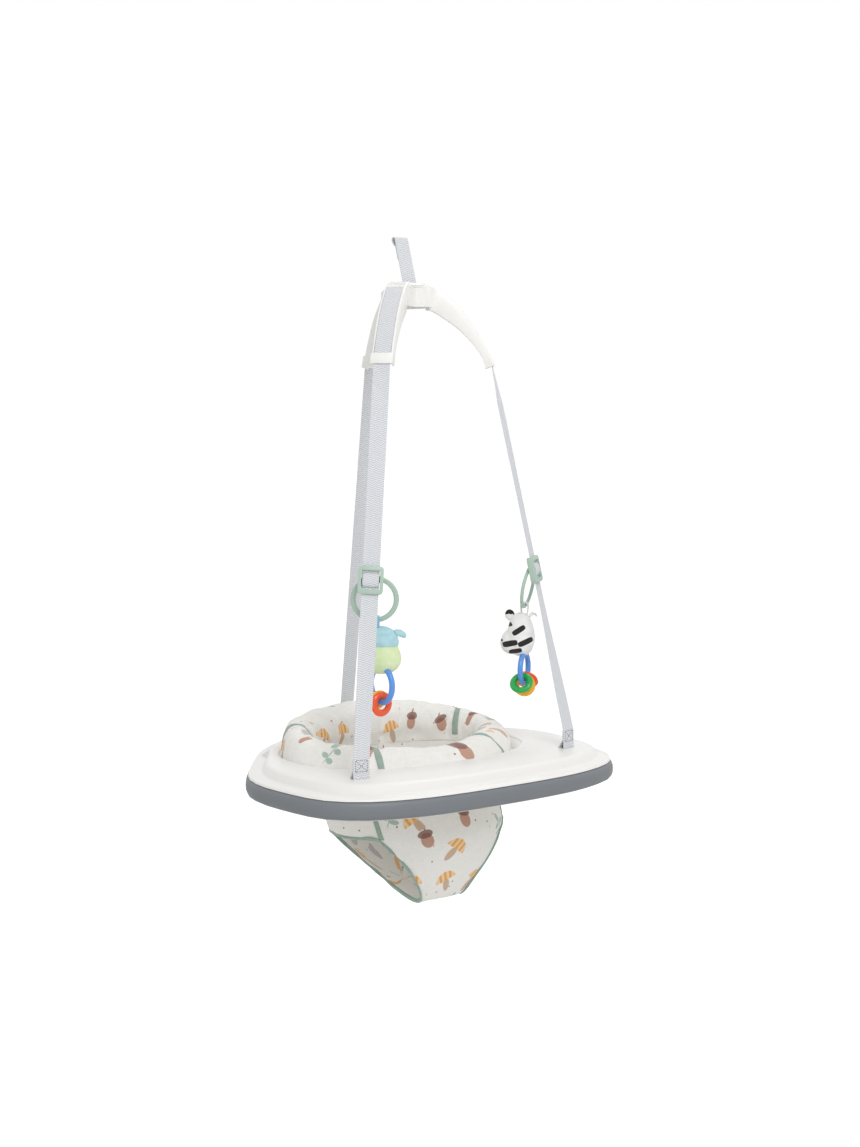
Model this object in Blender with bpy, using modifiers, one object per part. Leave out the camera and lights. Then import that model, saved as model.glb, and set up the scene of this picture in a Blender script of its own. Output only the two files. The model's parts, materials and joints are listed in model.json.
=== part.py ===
"""Baby doorway jumper: a three-legged hanger on a webbing strap, three webbing straps,
a moulded play tray with a soft bumper, a padded fabric seat, and two hanging toys."""

import math

import bmesh
import bpy
import numpy as np
from mathutils import Matrix, Vector

for old in list(bpy.data.objects):
    bpy.data.objects.remove(old, do_unlink=True)

# Sizes in metres. The origin is the centre of the top strap's eye.

# General
GAP = 0.0003
OVERRUN = 0.006
FULL_TURN = 2 * math.pi

# Webbing
WEB_WIDTH = 0.026
WEB_THICK = 0.0016
WEB_SIDE_ROOM = 0.0006
TAB_LENGTH = 0.022

# Crown of the hanger, measured from the eye
CROWN_FORWARD = 0.011
CROWN_DROP = 0.066
EYE_BORE_RADIUS = 0.0032
PIN_RADIUS = 0.0025
HUB_PIN_FORWARD = 0.018
HUB_PIN_DROP = 0.025
HUB_PIN_LENGTH = 0.040
HUB_TAIL = 0.007

# Hanger legs
LEG_WIDTH = 0.034
LEG_WALL = 0.0025
LEG_SKIN = 0.0024
LEG_DROP = 0.132
FRONT_REACH = 0.141
REAR_REACH = 0.090
FRONT_LEG_ANGLE = math.radians(39.6)
GROOVE_DEPTH = 0.0022
EDGE_ROUND = 0.0024
BRIDGE_HEIGHT = 0.013
BRIDGE_THICK = 0.0026
FRONT_OUTER_SHARES = (
    (0, 0), (0.2, 0.01), (0.39, 0.083), (0.56, 0.235), (0.716, 0.424), (0.872, 0.689), (0.965, 0.886), (1, 1)
)
FRONT_UNDER_SHARES = (
    (0, 0.318), (0.1, 0.318), (0.287, 0.333), (0.43, 0.42), (0.62, 0.566), (0.79, 0.757), (0.885, 0.91),
    (0.915, 1.03)
)
REAR_OUTER_SHARES = (
    (0, 0), (0.2, 0.03), (0.36, 0.12), (0.53, 0.27), (0.7, 0.45), (0.84, 0.67), (0.94, 0.86), (1, 1)
)
REAR_UNDER_SHARES = (
    (0, 0.318), (0.08, 0.318), (0.2, 0.36), (0.35, 0.45), (0.51, 0.57), (0.67, 0.75), (0.79, 0.9),
    (0.85, 1.03)
)

# Hub under the crown
DOME_WALL = 0.003
DOME_RADIUS = 0.052
DOME_DROP = 0.020
HUB_DEPTH = 0.040
RIB_THICK = 0.0025
SLOT_FRONT = 0.0215
SLOT_BACK = 0.0045
DOME_REACH_SHARES = (0.72, 0.70, 0.66, 0.70, 0.72, 0.98, 0.84, 0.98)
DOME_DROP_SHARES = (0.7, 0.9, 1.1, 0.9, 0.7, 0.52, 0.5, 0.52)
FRONT_ANCHOR_OUT = 0.036
FRONT_ANCHOR_DROP = 0.020
FRONT_SLOT_OUT = 0.0465
FRONT_SLOT_LONG = 0.006
REAR_ANCHOR_OUT = 0.0175
REAR_ANCHOR_DROP = 0.027
REAR_SLOT_OUT = 0.027
REAR_SLOT_LONG = 0.005

# Tray, measured from the crown
TRAY_TOP = 0.742
TRAY_HALF_WIDTH = 0.303
TRAY_FRONT = 0.269
TRAY_BACK = 0.240
TRAY_WALL = 0.003
BUMPER_HEIGHT = 0.0275
BUMPER_DEPTH = 0.0100
BUMPER_TOP_DROP = 0.0197
LEDGE_DROP = 0.0142
PLATFORM_INSET = 0.033
SKIRT_DROP = 0.049
OUTLINE_SHARES = (
    (0, 0), (0.2475, 0.002), (0.495, 0.016), (0.726, 0.0566), (0.875, 0.118), (0.957, 0.202), (0.996, 0.348),
    (1, 0.45), (0.96, 0.548), (0.865, 0.642), (0.713, 0.76), (0.545, 0.878), (0.347, 0.965), (0.165, 0.996),
    (0, 1),
)
RIDGE_HALF_WIDTH = 0.205
RIDGE_HALF_DEPTH = 0.1405
RIDGE_BACK = 0.0055
RIDGE_POWER = 2.5
DISH_DROP = 0.018
DISH_SLOPE = 0.011
OPENING_HALF_WIDTH = 0.172
OPENING_HALF_DEPTH = 0.118
OPENING_BACK = 0.008
FRONT_ANCHOR_SIDE = 0.2026
FRONT_ANCHOR_FORWARD = 0.165
REAR_ANCHOR_BACK = 0.160
BAR_WIDTH = 0.006
BAR_SLOT = 0.0036
STRAP_ANGLE_MIDDLE = math.radians(34)
STRAP_ANGLE_TRAY = math.radians(11)

# Seat
RING_WIDTH = 0.009
RING_THICK = 0.004
COLLAR_HALF_WIDTH = 0.184
COLLAR_HALF_DEPTH = 0.110
COLLAR_BULGE = 0.020
COLLAR_BACK = 0.018
COLLAR_THICK = 0.030
COLLAR_BACK_HEIGHT = 0.070
COLLAR_FRONT_HEIGHT = 0.026
FABRIC_THICK = 0.003
WAIST_CLEARANCE = 0.004
WAIST_HALF_WIDTH = OPENING_HALF_WIDTH - WAIST_CLEARANCE
WAIST_HALF_DEPTH = OPENING_HALF_DEPTH - WAIST_CLEARANCE
BAND_HALF_WIDTH = 0.150
BAND_HALF_DEPTH = 0.122
BAND_FORWARD = 0.034
BAND_DROP = 0.870
BAND_FRONT_RISE = 0.014
FRONT_BULGE = 0.018
CROTCH_HALF_WIDTH = 0.040
CROTCH_FORWARD = 0.097
CROTCH_DROP = 0.977
BINDING_RADIUS = 0.0028
TAPE_WIDTH = 0.009
TAPE_THICK = 0.001
TAPE_LENGTH = 0.068
TAPE_FOOT = 0.002
PANTS_FRONT_ANGLE = math.radians(54)
PANTS_REAR_ANGLE = math.radians(62)
REAR_EDGE_SHARES = (
    (1, 1, 0), (0.89, 0.96, 0.14), (0.775, 0.865, 0.3), (0.657, 0.7, 0.477),
    (0.53, 0.56, 0.658), (0.38, 0.36, 0.86), (0.292, 0, 0.985),
)
REAR_MIDDLE_SHARES = ((1, 0), (0.99, 0.2), (0.93, 0.42), (0.8, 0.64), (0.57, 0.85), (0.3, 1.0), (0, 1))
FRONT_EDGE_SHARES = ((1, 0), (0.88, 0.15), (0.78, 0.29), (0.65, 0.45), (0.5, 0.64), (0.35, 0.86))

# Sliders
SLIDER_DROP = 0.454
SLIDER_WIDTH = 0.038
SLIDER_HEIGHT = 0.042
SLIDER_BAR = 0.0065
SLIDER_HALF_DEPTH = 0.005
SLIDER_ROUND = 0.006
SLIDER_CLEARANCE = 0.0005
LOOP_RADIUS = 0.0325
LOOP_TUBE = 0.004
LOOP_FLATTEN_SHARE = 0.7
LOOP_SIDE = 0.008
LOOP_IN = 0.0192
LOOP_DROP = 0.026
LOOP_TILT = math.radians(22)

# Toys
RIBBON_WIDTH = 0.006
RIBBON_THICK = 0.0014
RIBBON_PLAY = 0.0014
HOOP_TUBE = 0.0045
HOOP_RADIUS = 0.027
RING_OUTER = 0.019
RING_HOLE = 0.0082
RING_HALF_THICK = 0.0036
RING_FAN = math.radians(28)
LEFT_HANG_SIDE = 0.006
LEFT_BODY_SIDE = 0.006
LEFT_BODY_DROP = 0.054
LEFT_BODY_HALF = 0.0305
LEFT_BODY_FLATTEN_SHARE = 0.62
LEFT_BODY_HALF_HEIGHT = 0.028
LEFT_CAP_DROP = 0.0305
LEFT_CAP_HALF = 0.0265
LEFT_CAP_HALF_HEIGHT = 0.0215
LEFT_EAR_SIDE = 0.016
LEFT_EAR_RISE = 0.0095
LEFT_EAR_LENGTH = 0.021
LEFT_EAR_RADIUS = 0.0055
LEFT_HOOP_SIDE = 0.006
LEFT_HOOP_DROP = 0.098
RIGHT_BODY_DROP = 0.046
RIGHT_BODY_HALF = 0.0235
RIGHT_BODY_HALF_HEIGHT = 0.036
RIGHT_BODY_OUT = 0.006
RIGHT_SNOUT_OUT = 0.020
RIGHT_SNOUT_DROP = 0.058
RIGHT_SNOUT_HALF = 0.020
RIGHT_EAR_LENGTH = 0.013
RIGHT_EAR_RADIUS = 0.0048
RIGHT_TAIL_LENGTH = 0.012
RIGHT_TAIL_RADIUS = 0.003
RIGHT_HOOP_RADIUS = 0.024
RIGHT_HOOP_DROP = 0.1015
RIGHT_RING_FAN = math.radians(38)

RING_COUNT = 64
CROWN = Vector((0, -CROWN_FORWARD, -CROWN_DROP))
UP = Vector((0, 0, 1))
RIGHT = Vector((1, 0, 0))
EGG_SHARES = (
    (0, 1), (0.3, 0.95), (0.58, 0.8), (0.8, 0.52), (0.94, 0.18), (1, -0.12), (0.95, -0.42), (0.8, -0.7),
    (0.55, -0.9), (0.28, -0.98), (0, -1)
)

parts = bpy.data.collections.new("doorway_jumper")
cutters = bpy.data.collections.new("cutters")
bpy.context.scene.collection.children.link(parts)
bpy.context.scene.collection.children.link(cutters)
cutters.hide_render = True


def make_material(name, colour, roughness, metallic=0.0):
    made = bpy.data.materials.new(name)
    made.use_nodes = True
    shader = made.node_tree.nodes["Principled BSDF"]
    shader.inputs["Base Color"].default_value = (*colour, 1)
    shader.inputs["Roughness"].default_value = roughness
    shader.inputs["Metallic"].default_value = metallic
    made.diffuse_color = (*colour, 1)
    return made


WEBBING = make_material("webbing", (0.60, 0.61, 0.64), 0.8)
WHITE = make_material("white_plastic", (0.80, 0.79, 0.77), 0.35)
STEEL = make_material("steel", (0.55, 0.56, 0.58), 0.3, 1.0)
GREY = make_material("bumper_grey", (0.21, 0.24, 0.26), 0.5)
SAGE = make_material("sage", (0.33, 0.46, 0.39), 0.55)
LINEN = make_material("linen", (0.77, 0.74, 0.69), 0.9)
BLUE = make_material("toy_blue", (0.08, 0.28, 0.72), 0.4)
PALE_BLUE = make_material("toy_pale_blue", (0.30, 0.60, 0.75), 0.85)
PALE_GREEN = make_material("toy_pale_green", (0.60, 0.80, 0.45), 0.85)
PLUSH_WHITE = make_material("plush_white", (0.85, 0.85, 0.83), 0.85)
PLUSH_BLACK = make_material("plush_black", (0.02, 0.02, 0.02), 0.85)
ORANGE = make_material("ring_orange", (0.80, 0.16, 0.05), 0.35)
YELLOW = make_material("ring_yellow", (0.85, 0.55, 0.03), 0.35)
GREEN = make_material("ring_green", (0.03, 0.45, 0.12), 0.35)


def add_empty(name, place, parent=None):
    """A pivot that carries the pieces that move with it."""
    empty = bpy.data.objects.new(name, None)
    parts.objects.link(empty)
    empty.parent = parent
    empty.location = place - (world_place(parent) if parent else Vector((0, 0, 0)))
    return empty


def world_place(thing):
    place = thing.location.copy()
    while thing.parent:
        thing = thing.parent
        place += thing.location
    return place


def mesh_object(name, verts, faces, material=None, collection=parts):
    """A closed mesh from vertices and faces, with its faces turned outwards."""
    mesh = bpy.data.meshes.new(name)
    mesh.from_pydata([tuple(v) for v in verts], [], faces)
    made = bpy.data.objects.new(name, mesh)
    collection.objects.link(made)
    tidy(made)
    if material:
        mesh.materials.append(material)
    return made


def tidy(made):
    shape = bmesh.new()
    shape.from_mesh(made.data)
    bmesh.ops.triangulate(shape, faces=shape.faces)
    bmesh.ops.recalc_face_normals(shape, faces=shape.faces)
    shape.to_mesh(made.data)
    shape.free()
    made.data.shade_smooth()
    made.data.set_sharp_from_angle(angle=math.radians(40))


def seat_on(made, parent, pivot=None):
    """Parents the piece, with its origin at the pivot, which is given in world coordinates."""
    origin = pivot or world_place(parent)
    made.data.transform(Matrix.Translation(-origin))
    made.parent = parent
    made.location = origin - world_place(parent)
    return made


def as_cutter(made):
    for owner in list(made.users_collection):
        owner.objects.unlink(made)
    cutters.objects.link(made)
    made.hide_render = True
    made.display_type = "WIRE"
    return made


def boolean(target, tool, operation, solver="EXACT"):
    step = target.modifiers.new(f"{operation.lower()} {tool.name}", "BOOLEAN")
    step.operation = operation
    step.solver = solver
    step.object = as_cutter(tool)
    return target


def settle(made, weld=True):
    """Replaces the piece's mesh by its evaluated one, so that it can be moved as a whole."""
    graph = bpy.context.evaluated_depsgraph_get()
    mesh = bpy.data.meshes.new_from_object(made.evaluated_get(graph), depsgraph=graph)
    made.modifiers.clear()
    made.data = mesh
    shape = bmesh.new()
    shape.from_mesh(mesh)
    if weld:
        bmesh.ops.remove_doubles(shape, verts=shape.verts, dist=GAP / 100)
        bmesh.ops.dissolve_degenerate(shape, edges=shape.edges, dist=GAP / 100)
    bmesh.ops.triangulate(shape, faces=shape.faces)
    shape.to_mesh(mesh)
    shape.free()
    return made


def join_flat(made):
    """Joins the faces that lie in one plane."""
    shape = bmesh.new()
    shape.from_mesh(made.data)
    bmesh.ops.dissolve_limit(shape, angle_limit=math.radians(1), verts=shape.verts, edges=shape.edges)
    bmesh.ops.triangulate(shape, faces=shape.faces)
    shape.to_mesh(made.data)
    shape.free()
    made.data.shade_smooth()
    made.data.set_sharp_from_angle(angle=math.radians(40))
    return made


def carve(target, tool, operation):
    """A Boolean step whose result replaces the mesh at once, so that the next starts clean."""
    return settle(boolean(target, tool, operation, "MANIFOLD"), weld=False)


def loft(name, sections, material=None, closed=False):
    """Skins like sections in order, with end caps unless the loft closes on itself."""
    count = len(sections[0])
    verts = [point for section in sections for point in section]
    faces = []
    last = len(sections) if closed else len(sections) - 1
    for row in range(last):
        here = row * count
        there = ((row + 1) % len(sections)) * count
        for i in range(count):
            j = (i + 1) % count
            faces.append((here + i, here + j, there + j, there + i))
    if not closed:
        faces.append(tuple(range(count))[::-1])
        faces.append(tuple((len(sections) - 1) * count + i for i in range(count)))
    return mesh_object(name, verts, faces, material)


def smooth_run(points, steps, closed=False):
    """Points along a smooth curve through the given ones, with so many steps to a span."""
    points = [Vector(p) for p in points]
    count = len(points)
    spans = count if closed else count - 1
    run = []
    for i in range(spans):
        if closed:
            a, b, c, d = (points[(i + k) % count] for k in (-1, 0, 1, 2))
        else:
            a, b, c, d = (points[min(max(i + k, 0), count - 1)] for k in (-1, 0, 1, 2))
        for k in range(steps):
            t = k / steps
            run.append(
                (
                    (b * 2) + (c - a) * t + (a * 2 - b * 5 + c * 4 - d) * t * t
                    + (b * 3 - a - c * 3 + d) * t**3
                ) / 2
            )
    if not closed:
        run.append(points[-1])
    return run


def blend(low, high, share):
    return low + (high - low) * share


def ease(share):
    share = min(max(share, 0), 1)
    return share * share * (3 - 2 * share)


def band(name, centres, acrosses, width, thick, material=None):
    """A flat strip along a path, with its own direction across at every station."""
    sections = []
    last = len(centres) - 1
    for i, (centre, across) in enumerate(zip(centres, acrosses)):
        along = (centres[min(i + 1, last)] - centres[max(i - 1, 0)]).normalized()
        face = along.cross(across).normalized()
        side = across * width / 2
        lift = face * thick / 2
        sections.append(
            [centre - side - lift, centre + side - lift, centre + side + lift, centre - side + lift]
        )
    return loft(name, sections, material)


def ribbon_ring(name, centres, across, width, thick, material=None):
    """A flat strip closed on itself, in a plane square to the direction across."""
    sections = []
    count = len(centres)
    for i, centre in enumerate(centres):
        along = (centres[(i + 1) % count] - centres[i - 1]).normalized()
        face = along.cross(across).normalized()
        side = across * width / 2
        lift = face * thick / 2
        sections.append(
            [centre - side - lift, centre + side - lift, centre + side + lift, centre - side + lift]
        )
    return loft(name, sections, material, closed=True)


def block(name, half_size, matrix, material=None):
    """A box primitive, placed by a matrix."""
    shape = bmesh.new()
    bmesh.ops.create_cube(shape, size=2)
    bmesh.ops.transform(shape, matrix=matrix @ Matrix.Diagonal((*half_size, 1)), verts=shape.verts)
    mesh = bpy.data.meshes.new(name)
    shape.to_mesh(mesh)
    shape.free()
    made = bpy.data.objects.new(name, mesh)
    parts.objects.link(made)
    if material:
        mesh.materials.append(material)
    return made


def rod(name, radius, length, matrix, material=None, segments=16):
    """A round bar along the matrix's X axis."""
    shape = bmesh.new()
    bmesh.ops.create_cone(
        shape, cap_ends=True, segments=segments, radius1=radius, radius2=radius, depth=length
    )
    turn = Matrix.Rotation(math.pi / 2, 4, "Y")
    bmesh.ops.transform(shape, matrix=matrix @ turn, verts=shape.verts)
    mesh = bpy.data.meshes.new(name)
    shape.to_mesh(mesh)
    shape.free()
    made = bpy.data.objects.new(name, mesh)
    parts.objects.link(made)
    made.data.shade_smooth()
    made.data.set_sharp_from_angle(angle=math.radians(40))
    if material:
        mesh.materials.append(material)
    return made


def axes_matrix(x_axis, y_axis, z_axis, place):
    made = Matrix((x_axis, y_axis, z_axis)).transposed().to_4x4()
    made.translation = place
    return made


# Pivots

root = add_empty("jumper", Vector((0, 0, 0)))
hub_place = CROWN + Vector((0, -HUB_PIN_FORWARD, -HUB_PIN_DROP))
hub_pivot = add_empty("hub_pivot", hub_place, root)

# Top strap: an eye at its upper end and a loop round the hub pin at its lower end

strap_long = -hub_place
strap_up = strap_long.normalized()
strap_back = RIGHT.cross(strap_up) * -1
span = strap_long.length
wrap = PIN_RADIUS + GAP + WEB_THICK / 2
eye_wrap = EYE_BORE_RADIUS + WEB_THICK / 2
layer = WEB_THICK + GAP


def top_point(up_by, back_by):
    return hub_place + strap_up * up_by + strap_back * back_by


top_path = [
    top_point(span - TAB_LENGTH - 3 * eye_wrap, layer - eye_wrap),
    top_point(span - 3 * eye_wrap, layer - eye_wrap),
    top_point(span - 2 * eye_wrap, eye_wrap * 0.3),
]
for k in range(9):
    angle = math.pi * (k - 0.9) / 7.1
    top_path.append(top_point(span + eye_wrap * math.sin(angle), eye_wrap * math.cos(angle)))
top_path.append(top_point(span - TAB_LENGTH, blend(-eye_wrap, -wrap, 0.3)))
for k in range(9):
    angle = math.pi * (k + 0.0) / 7.4
    top_path.append(top_point(-wrap * math.sin(angle), -wrap * math.cos(angle)))
top_path.append(top_point(2.4 * wrap, wrap * 0.2))
top_path.append(top_point(3.6 * wrap, layer - wrap))
top_path.append(top_point(3.6 * wrap + HUB_TAIL, layer - wrap))
top_strap = band("top_strap", top_path, [RIGHT] * len(top_path), WEB_WIDTH, WEB_THICK, WEBBING)
seat_on(top_strap, root)

hub_pin = rod("hub_pin", PIN_RADIUS, HUB_PIN_LENGTH, Matrix.Translation(hub_place), STEEL)
seat_on(hub_pin, hub_pivot)

# Hanger


class Leg:
    """One leg's plane and profiles: out is its direction in plan, across is square to it."""

    def __init__(self, name, angle, reach, drop, outer, under):
        self.name = name
        self.out = Vector((math.cos(angle), math.sin(angle), 0))
        self.across = self.out.cross(UP)
        self.outer = [self.at(o * reach, -z * drop) for o, z in outer]
        self.under = [self.at(o * reach, -z * drop) for o, z in under]
        self.run = smooth_run(self.outer, 2)
        self.under_run = smooth_run(self.under, 2)

    def at(self, out_by, up_by, across_by=0.0):
        return CROWN + self.out * out_by + UP * up_by + self.across * across_by

    def out_of(self, point):
        return (point - CROWN).dot(self.out)

    def inward(self, i):
        return (self.under_run[i] - self.run[i]).normalized()

    def depth(self, i):
        return (self.under_run[i] - self.run[i]).length

    def normal(self, i):
        """The direction into the leg, square to its outer face."""
        last = len(self.run) - 1
        along = (self.run[min(i + 1, last)] - self.run[max(i - 1, 0)]).normalized()
        return self.across.cross(along).normalized() * -1

    def lined(self, low, high, half, first=0, last=None, grow=0.0):
        """Rectangular sections from one depth under the outer face to another."""
        made = []
        for i in range(len(self.run))[first:last]:
            into = self.normal(i)
            side = self.across * half
            made.append(
                [
                    self.run[i] - side + into * low, self.run[i] + side + into * low,
                    self.run[i] + side + into * high, self.run[i] - side + into * high
                ]
            )
        return made


legs = [
    Leg("front_right", -FRONT_LEG_ANGLE, FRONT_REACH, LEG_DROP, FRONT_OUTER_SHARES, FRONT_UNDER_SHARES),
    Leg(
        "front_left", math.pi + FRONT_LEG_ANGLE, FRONT_REACH, LEG_DROP, FRONT_OUTER_SHARES,
        FRONT_UNDER_SHARES
    ),
    Leg("rear", math.pi / 2, REAR_REACH, LEG_DROP, REAR_OUTER_SHARES, REAR_UNDER_SHARES),
]
for leg, slot_out, slot_long, anchor_out, anchor_drop in zip(
    legs,
    (FRONT_SLOT_OUT, FRONT_SLOT_OUT, REAR_SLOT_OUT),
    (FRONT_SLOT_LONG, FRONT_SLOT_LONG, REAR_SLOT_LONG),
    (FRONT_ANCHOR_OUT, FRONT_ANCHOR_OUT, REAR_ANCHOR_OUT),
    (FRONT_ANCHOR_DROP, FRONT_ANCHOR_DROP, REAR_ANCHOR_DROP),
):
    leg.slot_out = slot_out
    leg.slot_long = slot_long
    leg.anchor_out = anchor_out
    leg.anchor_drop = anchor_drop


def leg_section(leg, i):
    half = LEG_WIDTH / 2
    deep = leg.depth(i)
    down = leg.inward(i)
    near = EDGE_ROUND * 0.3
    corners = [
        (-half, deep), (-half, EDGE_ROUND), (near - half, near), (EDGE_ROUND - half, 0),
        (half - EDGE_ROUND, 0), (half - near, near), (half, EDGE_ROUND), (half, deep),
    ]
    return [leg.run[i] + leg.across * a + down * d for a, d in corners]


def channel_section(leg, i):
    half = LEG_WIDTH / 2 - LEG_WALL
    roof = GROOVE_DEPTH + LEG_SKIN
    down = leg.inward(i)
    floor = leg.depth(i) + OVERRUN
    return [
        leg.run[i] + leg.across * a + down * d
        for a, d in ((-half, roof), (half, roof), (half, floor), (-half, floor))
    ]


def dome_rings(shrink, floor, top):
    """The crown's cap: a low dome that falls to a wall, wider towards the front legs."""
    angles = [k * FULL_TURN / 32 for k in range(32)]
    reach = periodic(DOME_REACH_SHARES, angles)
    drop = periodic(DOME_DROP_SHARES, angles)
    rings = []
    for share in (0.3, 0.6, 0.82, 1.0):
        ring = []
        for a, r, d in zip(angles, reach, drop):
            out = share * (r * DOME_RADIUS - shrink)
            ring.append(
                CROWN + Vector((out * math.cos(a), out * math.sin(a), top - d * DOME_DROP * share**2.4))
            )
        rings.append(ring)
    rings.append([Vector((p.x, p.y, CROWN.z - floor)) for p in rings[-1]])
    return rings


def periodic(shares, angles):
    """A smooth closed run of values, the first at angle zero and the rest an eighth of a turn apart."""
    values = [(v, 0, 0) for v in shares]
    run = smooth_run(values, 12, closed=True)
    places = [k * FULL_TURN / len(run) for k in range(len(run) + 1)]
    heights = [p.x for p in run] + [run[0].x]
    return np.interp(angles, places, heights)


hanger = loft("hanger_frame", dome_rings(0, HUB_DEPTH, 0), WHITE)
LEG_START = 2
for leg in legs:
    sections = [leg_section(leg, i) for i in range(LEG_START, len(leg.run))]
    carve(hanger, loft(f"leg {leg.name}", sections), "UNION")
half_groove = WEB_WIDTH / 2 + WEB_SIDE_ROOM
for leg in legs:
    leg.bend = next(i for i in range(len(leg.run)) if leg.out_of(leg.run[i]) > leg.slot_out + leg.slot_long)
    leg.slot_end = leg.out_of(leg.run[leg.bend]) + WEB_THICK
    first = leg.bend - 1
    groove = leg.lined(-OVERRUN, GROOVE_DEPTH, half_groove, first=first)
    leg.tail = (leg.run[-1] - leg.run[-2]).normalized() * OVERRUN
    groove.append([p + leg.tail for p in groove[-1]])
    carve(hanger, loft(f"groove {leg.name}", groove), "DIFFERENCE")
for leg in legs:
    at_bridge = [i for i in range(len(leg.run)) if (leg.run[i] - leg.run[-1]).length < BRIDGE_HEIGHT]
    leg.bridge = at_bridge[0] - 1
    bridge = leg.lined(-BRIDGE_THICK, GROOVE_DEPTH + LEG_SKIN / 2, LEG_WIDTH / 2 + GAP, first=leg.bridge)
    bridge.append([p + leg.tail * GAP / OVERRUN for p in bridge[-1]])
    carve(hanger, loft(f"bridge {leg.name}", bridge), "UNION")
carve(hanger, loft("dome inside", dome_rings(DOME_WALL, HUB_DEPTH + OVERRUN, -DOME_WALL)), "DIFFERENCE")
for leg in legs:
    channel = [channel_section(leg, i) for i in range(LEG_START, len(leg.run))]
    channel.append([p + leg.tail for p in channel[-1]])
    carve(hanger, loft(f"channel {leg.name}", channel), "DIFFERENCE")


def add_rib(name, half_size, matrix):
    """A rib under the crown's skin, trimmed to the dome."""
    rib = block(name, half_size, matrix)
    limit = dome_rings(DOME_WALL / 2, HUB_DEPTH - GAP, -DOME_WALL / 2)
    boolean(rib, loft(f"limit {name}", limit), "INTERSECT")
    carve(hanger, settle(rib), "UNION")


for leg in legs:
    for side in (-1, 1):
        offset = side * (LEG_WIDTH - LEG_WALL) / 2
        inner = leg.anchor_out - 3 * PIN_RADIUS
        low = leg.anchor_drop + 3 * PIN_RADIUS
        outer = leg.slot_out + GAP
        add_rib(
            f"rib {leg.name} {side}",
            ((outer - inner) / 2, LEG_WALL / 2 - GAP, low / 2),
            axes_matrix(leg.out, leg.across * -1, UP, leg.at((inner + outer) / 2, -low / 2, offset)),
        )
for side in (-1, 1):
    low = HUB_PIN_DROP + 3 * PIN_RADIUS
    place = CROWN + Vector((side * (WEB_WIDTH / 2 + 4 * WEB_SIDE_ROOM), -HUB_PIN_FORWARD, -low / 2))
    add_rib(f"pin rib {side}", (RIB_THICK / 2, 2.4 * PIN_RADIUS, low / 2), Matrix.Translation(place))

for leg in legs:
    tunnel = leg.lined(0, GROOVE_DEPTH + GAP / 3, half_groove + GAP / 3, first=leg.bridge - 1)
    tunnel.append([p + leg.tail for p in tunnel[-1]])
    carve(hanger, loft(f"tunnel {leg.name}", tunnel), "DIFFERENCE")
    slot = block(
        f"slot {leg.name}",
        ((leg.slot_end - leg.slot_out) / 2, half_groove - GAP / 3, 2 * OVERRUN),
        axes_matrix(
            leg.out, leg.across * -1, UP, leg.at((leg.slot_end + leg.slot_out) / 2, -leg.anchor_drop * 0.6)
        ),
    )
    carve(hanger, slot, "DIFFERENCE")
    place = leg.at(leg.anchor_out, -leg.anchor_drop)
    bore = rod(
        f"anchor bore {leg.name}", PIN_RADIUS + GAP, LEG_WIDTH + OVERRUN,
        axes_matrix(leg.across, leg.out, UP, place)
    )
    carve(hanger, bore, "DIFFERENCE")
carve(
    hanger, rod("pin bore", PIN_RADIUS + GAP, HUB_PIN_LENGTH + OVERRUN, Matrix.Translation(hub_place)),
    "DIFFERENCE"
)
crown_slot = block(
    "crown slot",
    (WEB_WIDTH / 2 + 2 * WEB_SIDE_ROOM, (SLOT_FRONT - SLOT_BACK) / 2, 2 * OVERRUN),
    Matrix.Translation(CROWN + Vector((0, -(SLOT_FRONT + SLOT_BACK) / 2, 0))),
)
carve(hanger, crown_slot, "DIFFERENCE")
join_flat(hanger)
seat_on(hanger, hub_pivot)
for leg in legs:
    place = leg.at(leg.anchor_out, -leg.anchor_drop)
    pin = rod(
        f"strap_anchor_{leg.name}", PIN_RADIUS, LEG_WIDTH - LEG_WALL / 2,
        axes_matrix(leg.across, leg.out, UP, place), STEEL
    )
    seat_on(pin, hub_pivot)

# Straps from the hanger to the tray


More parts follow.
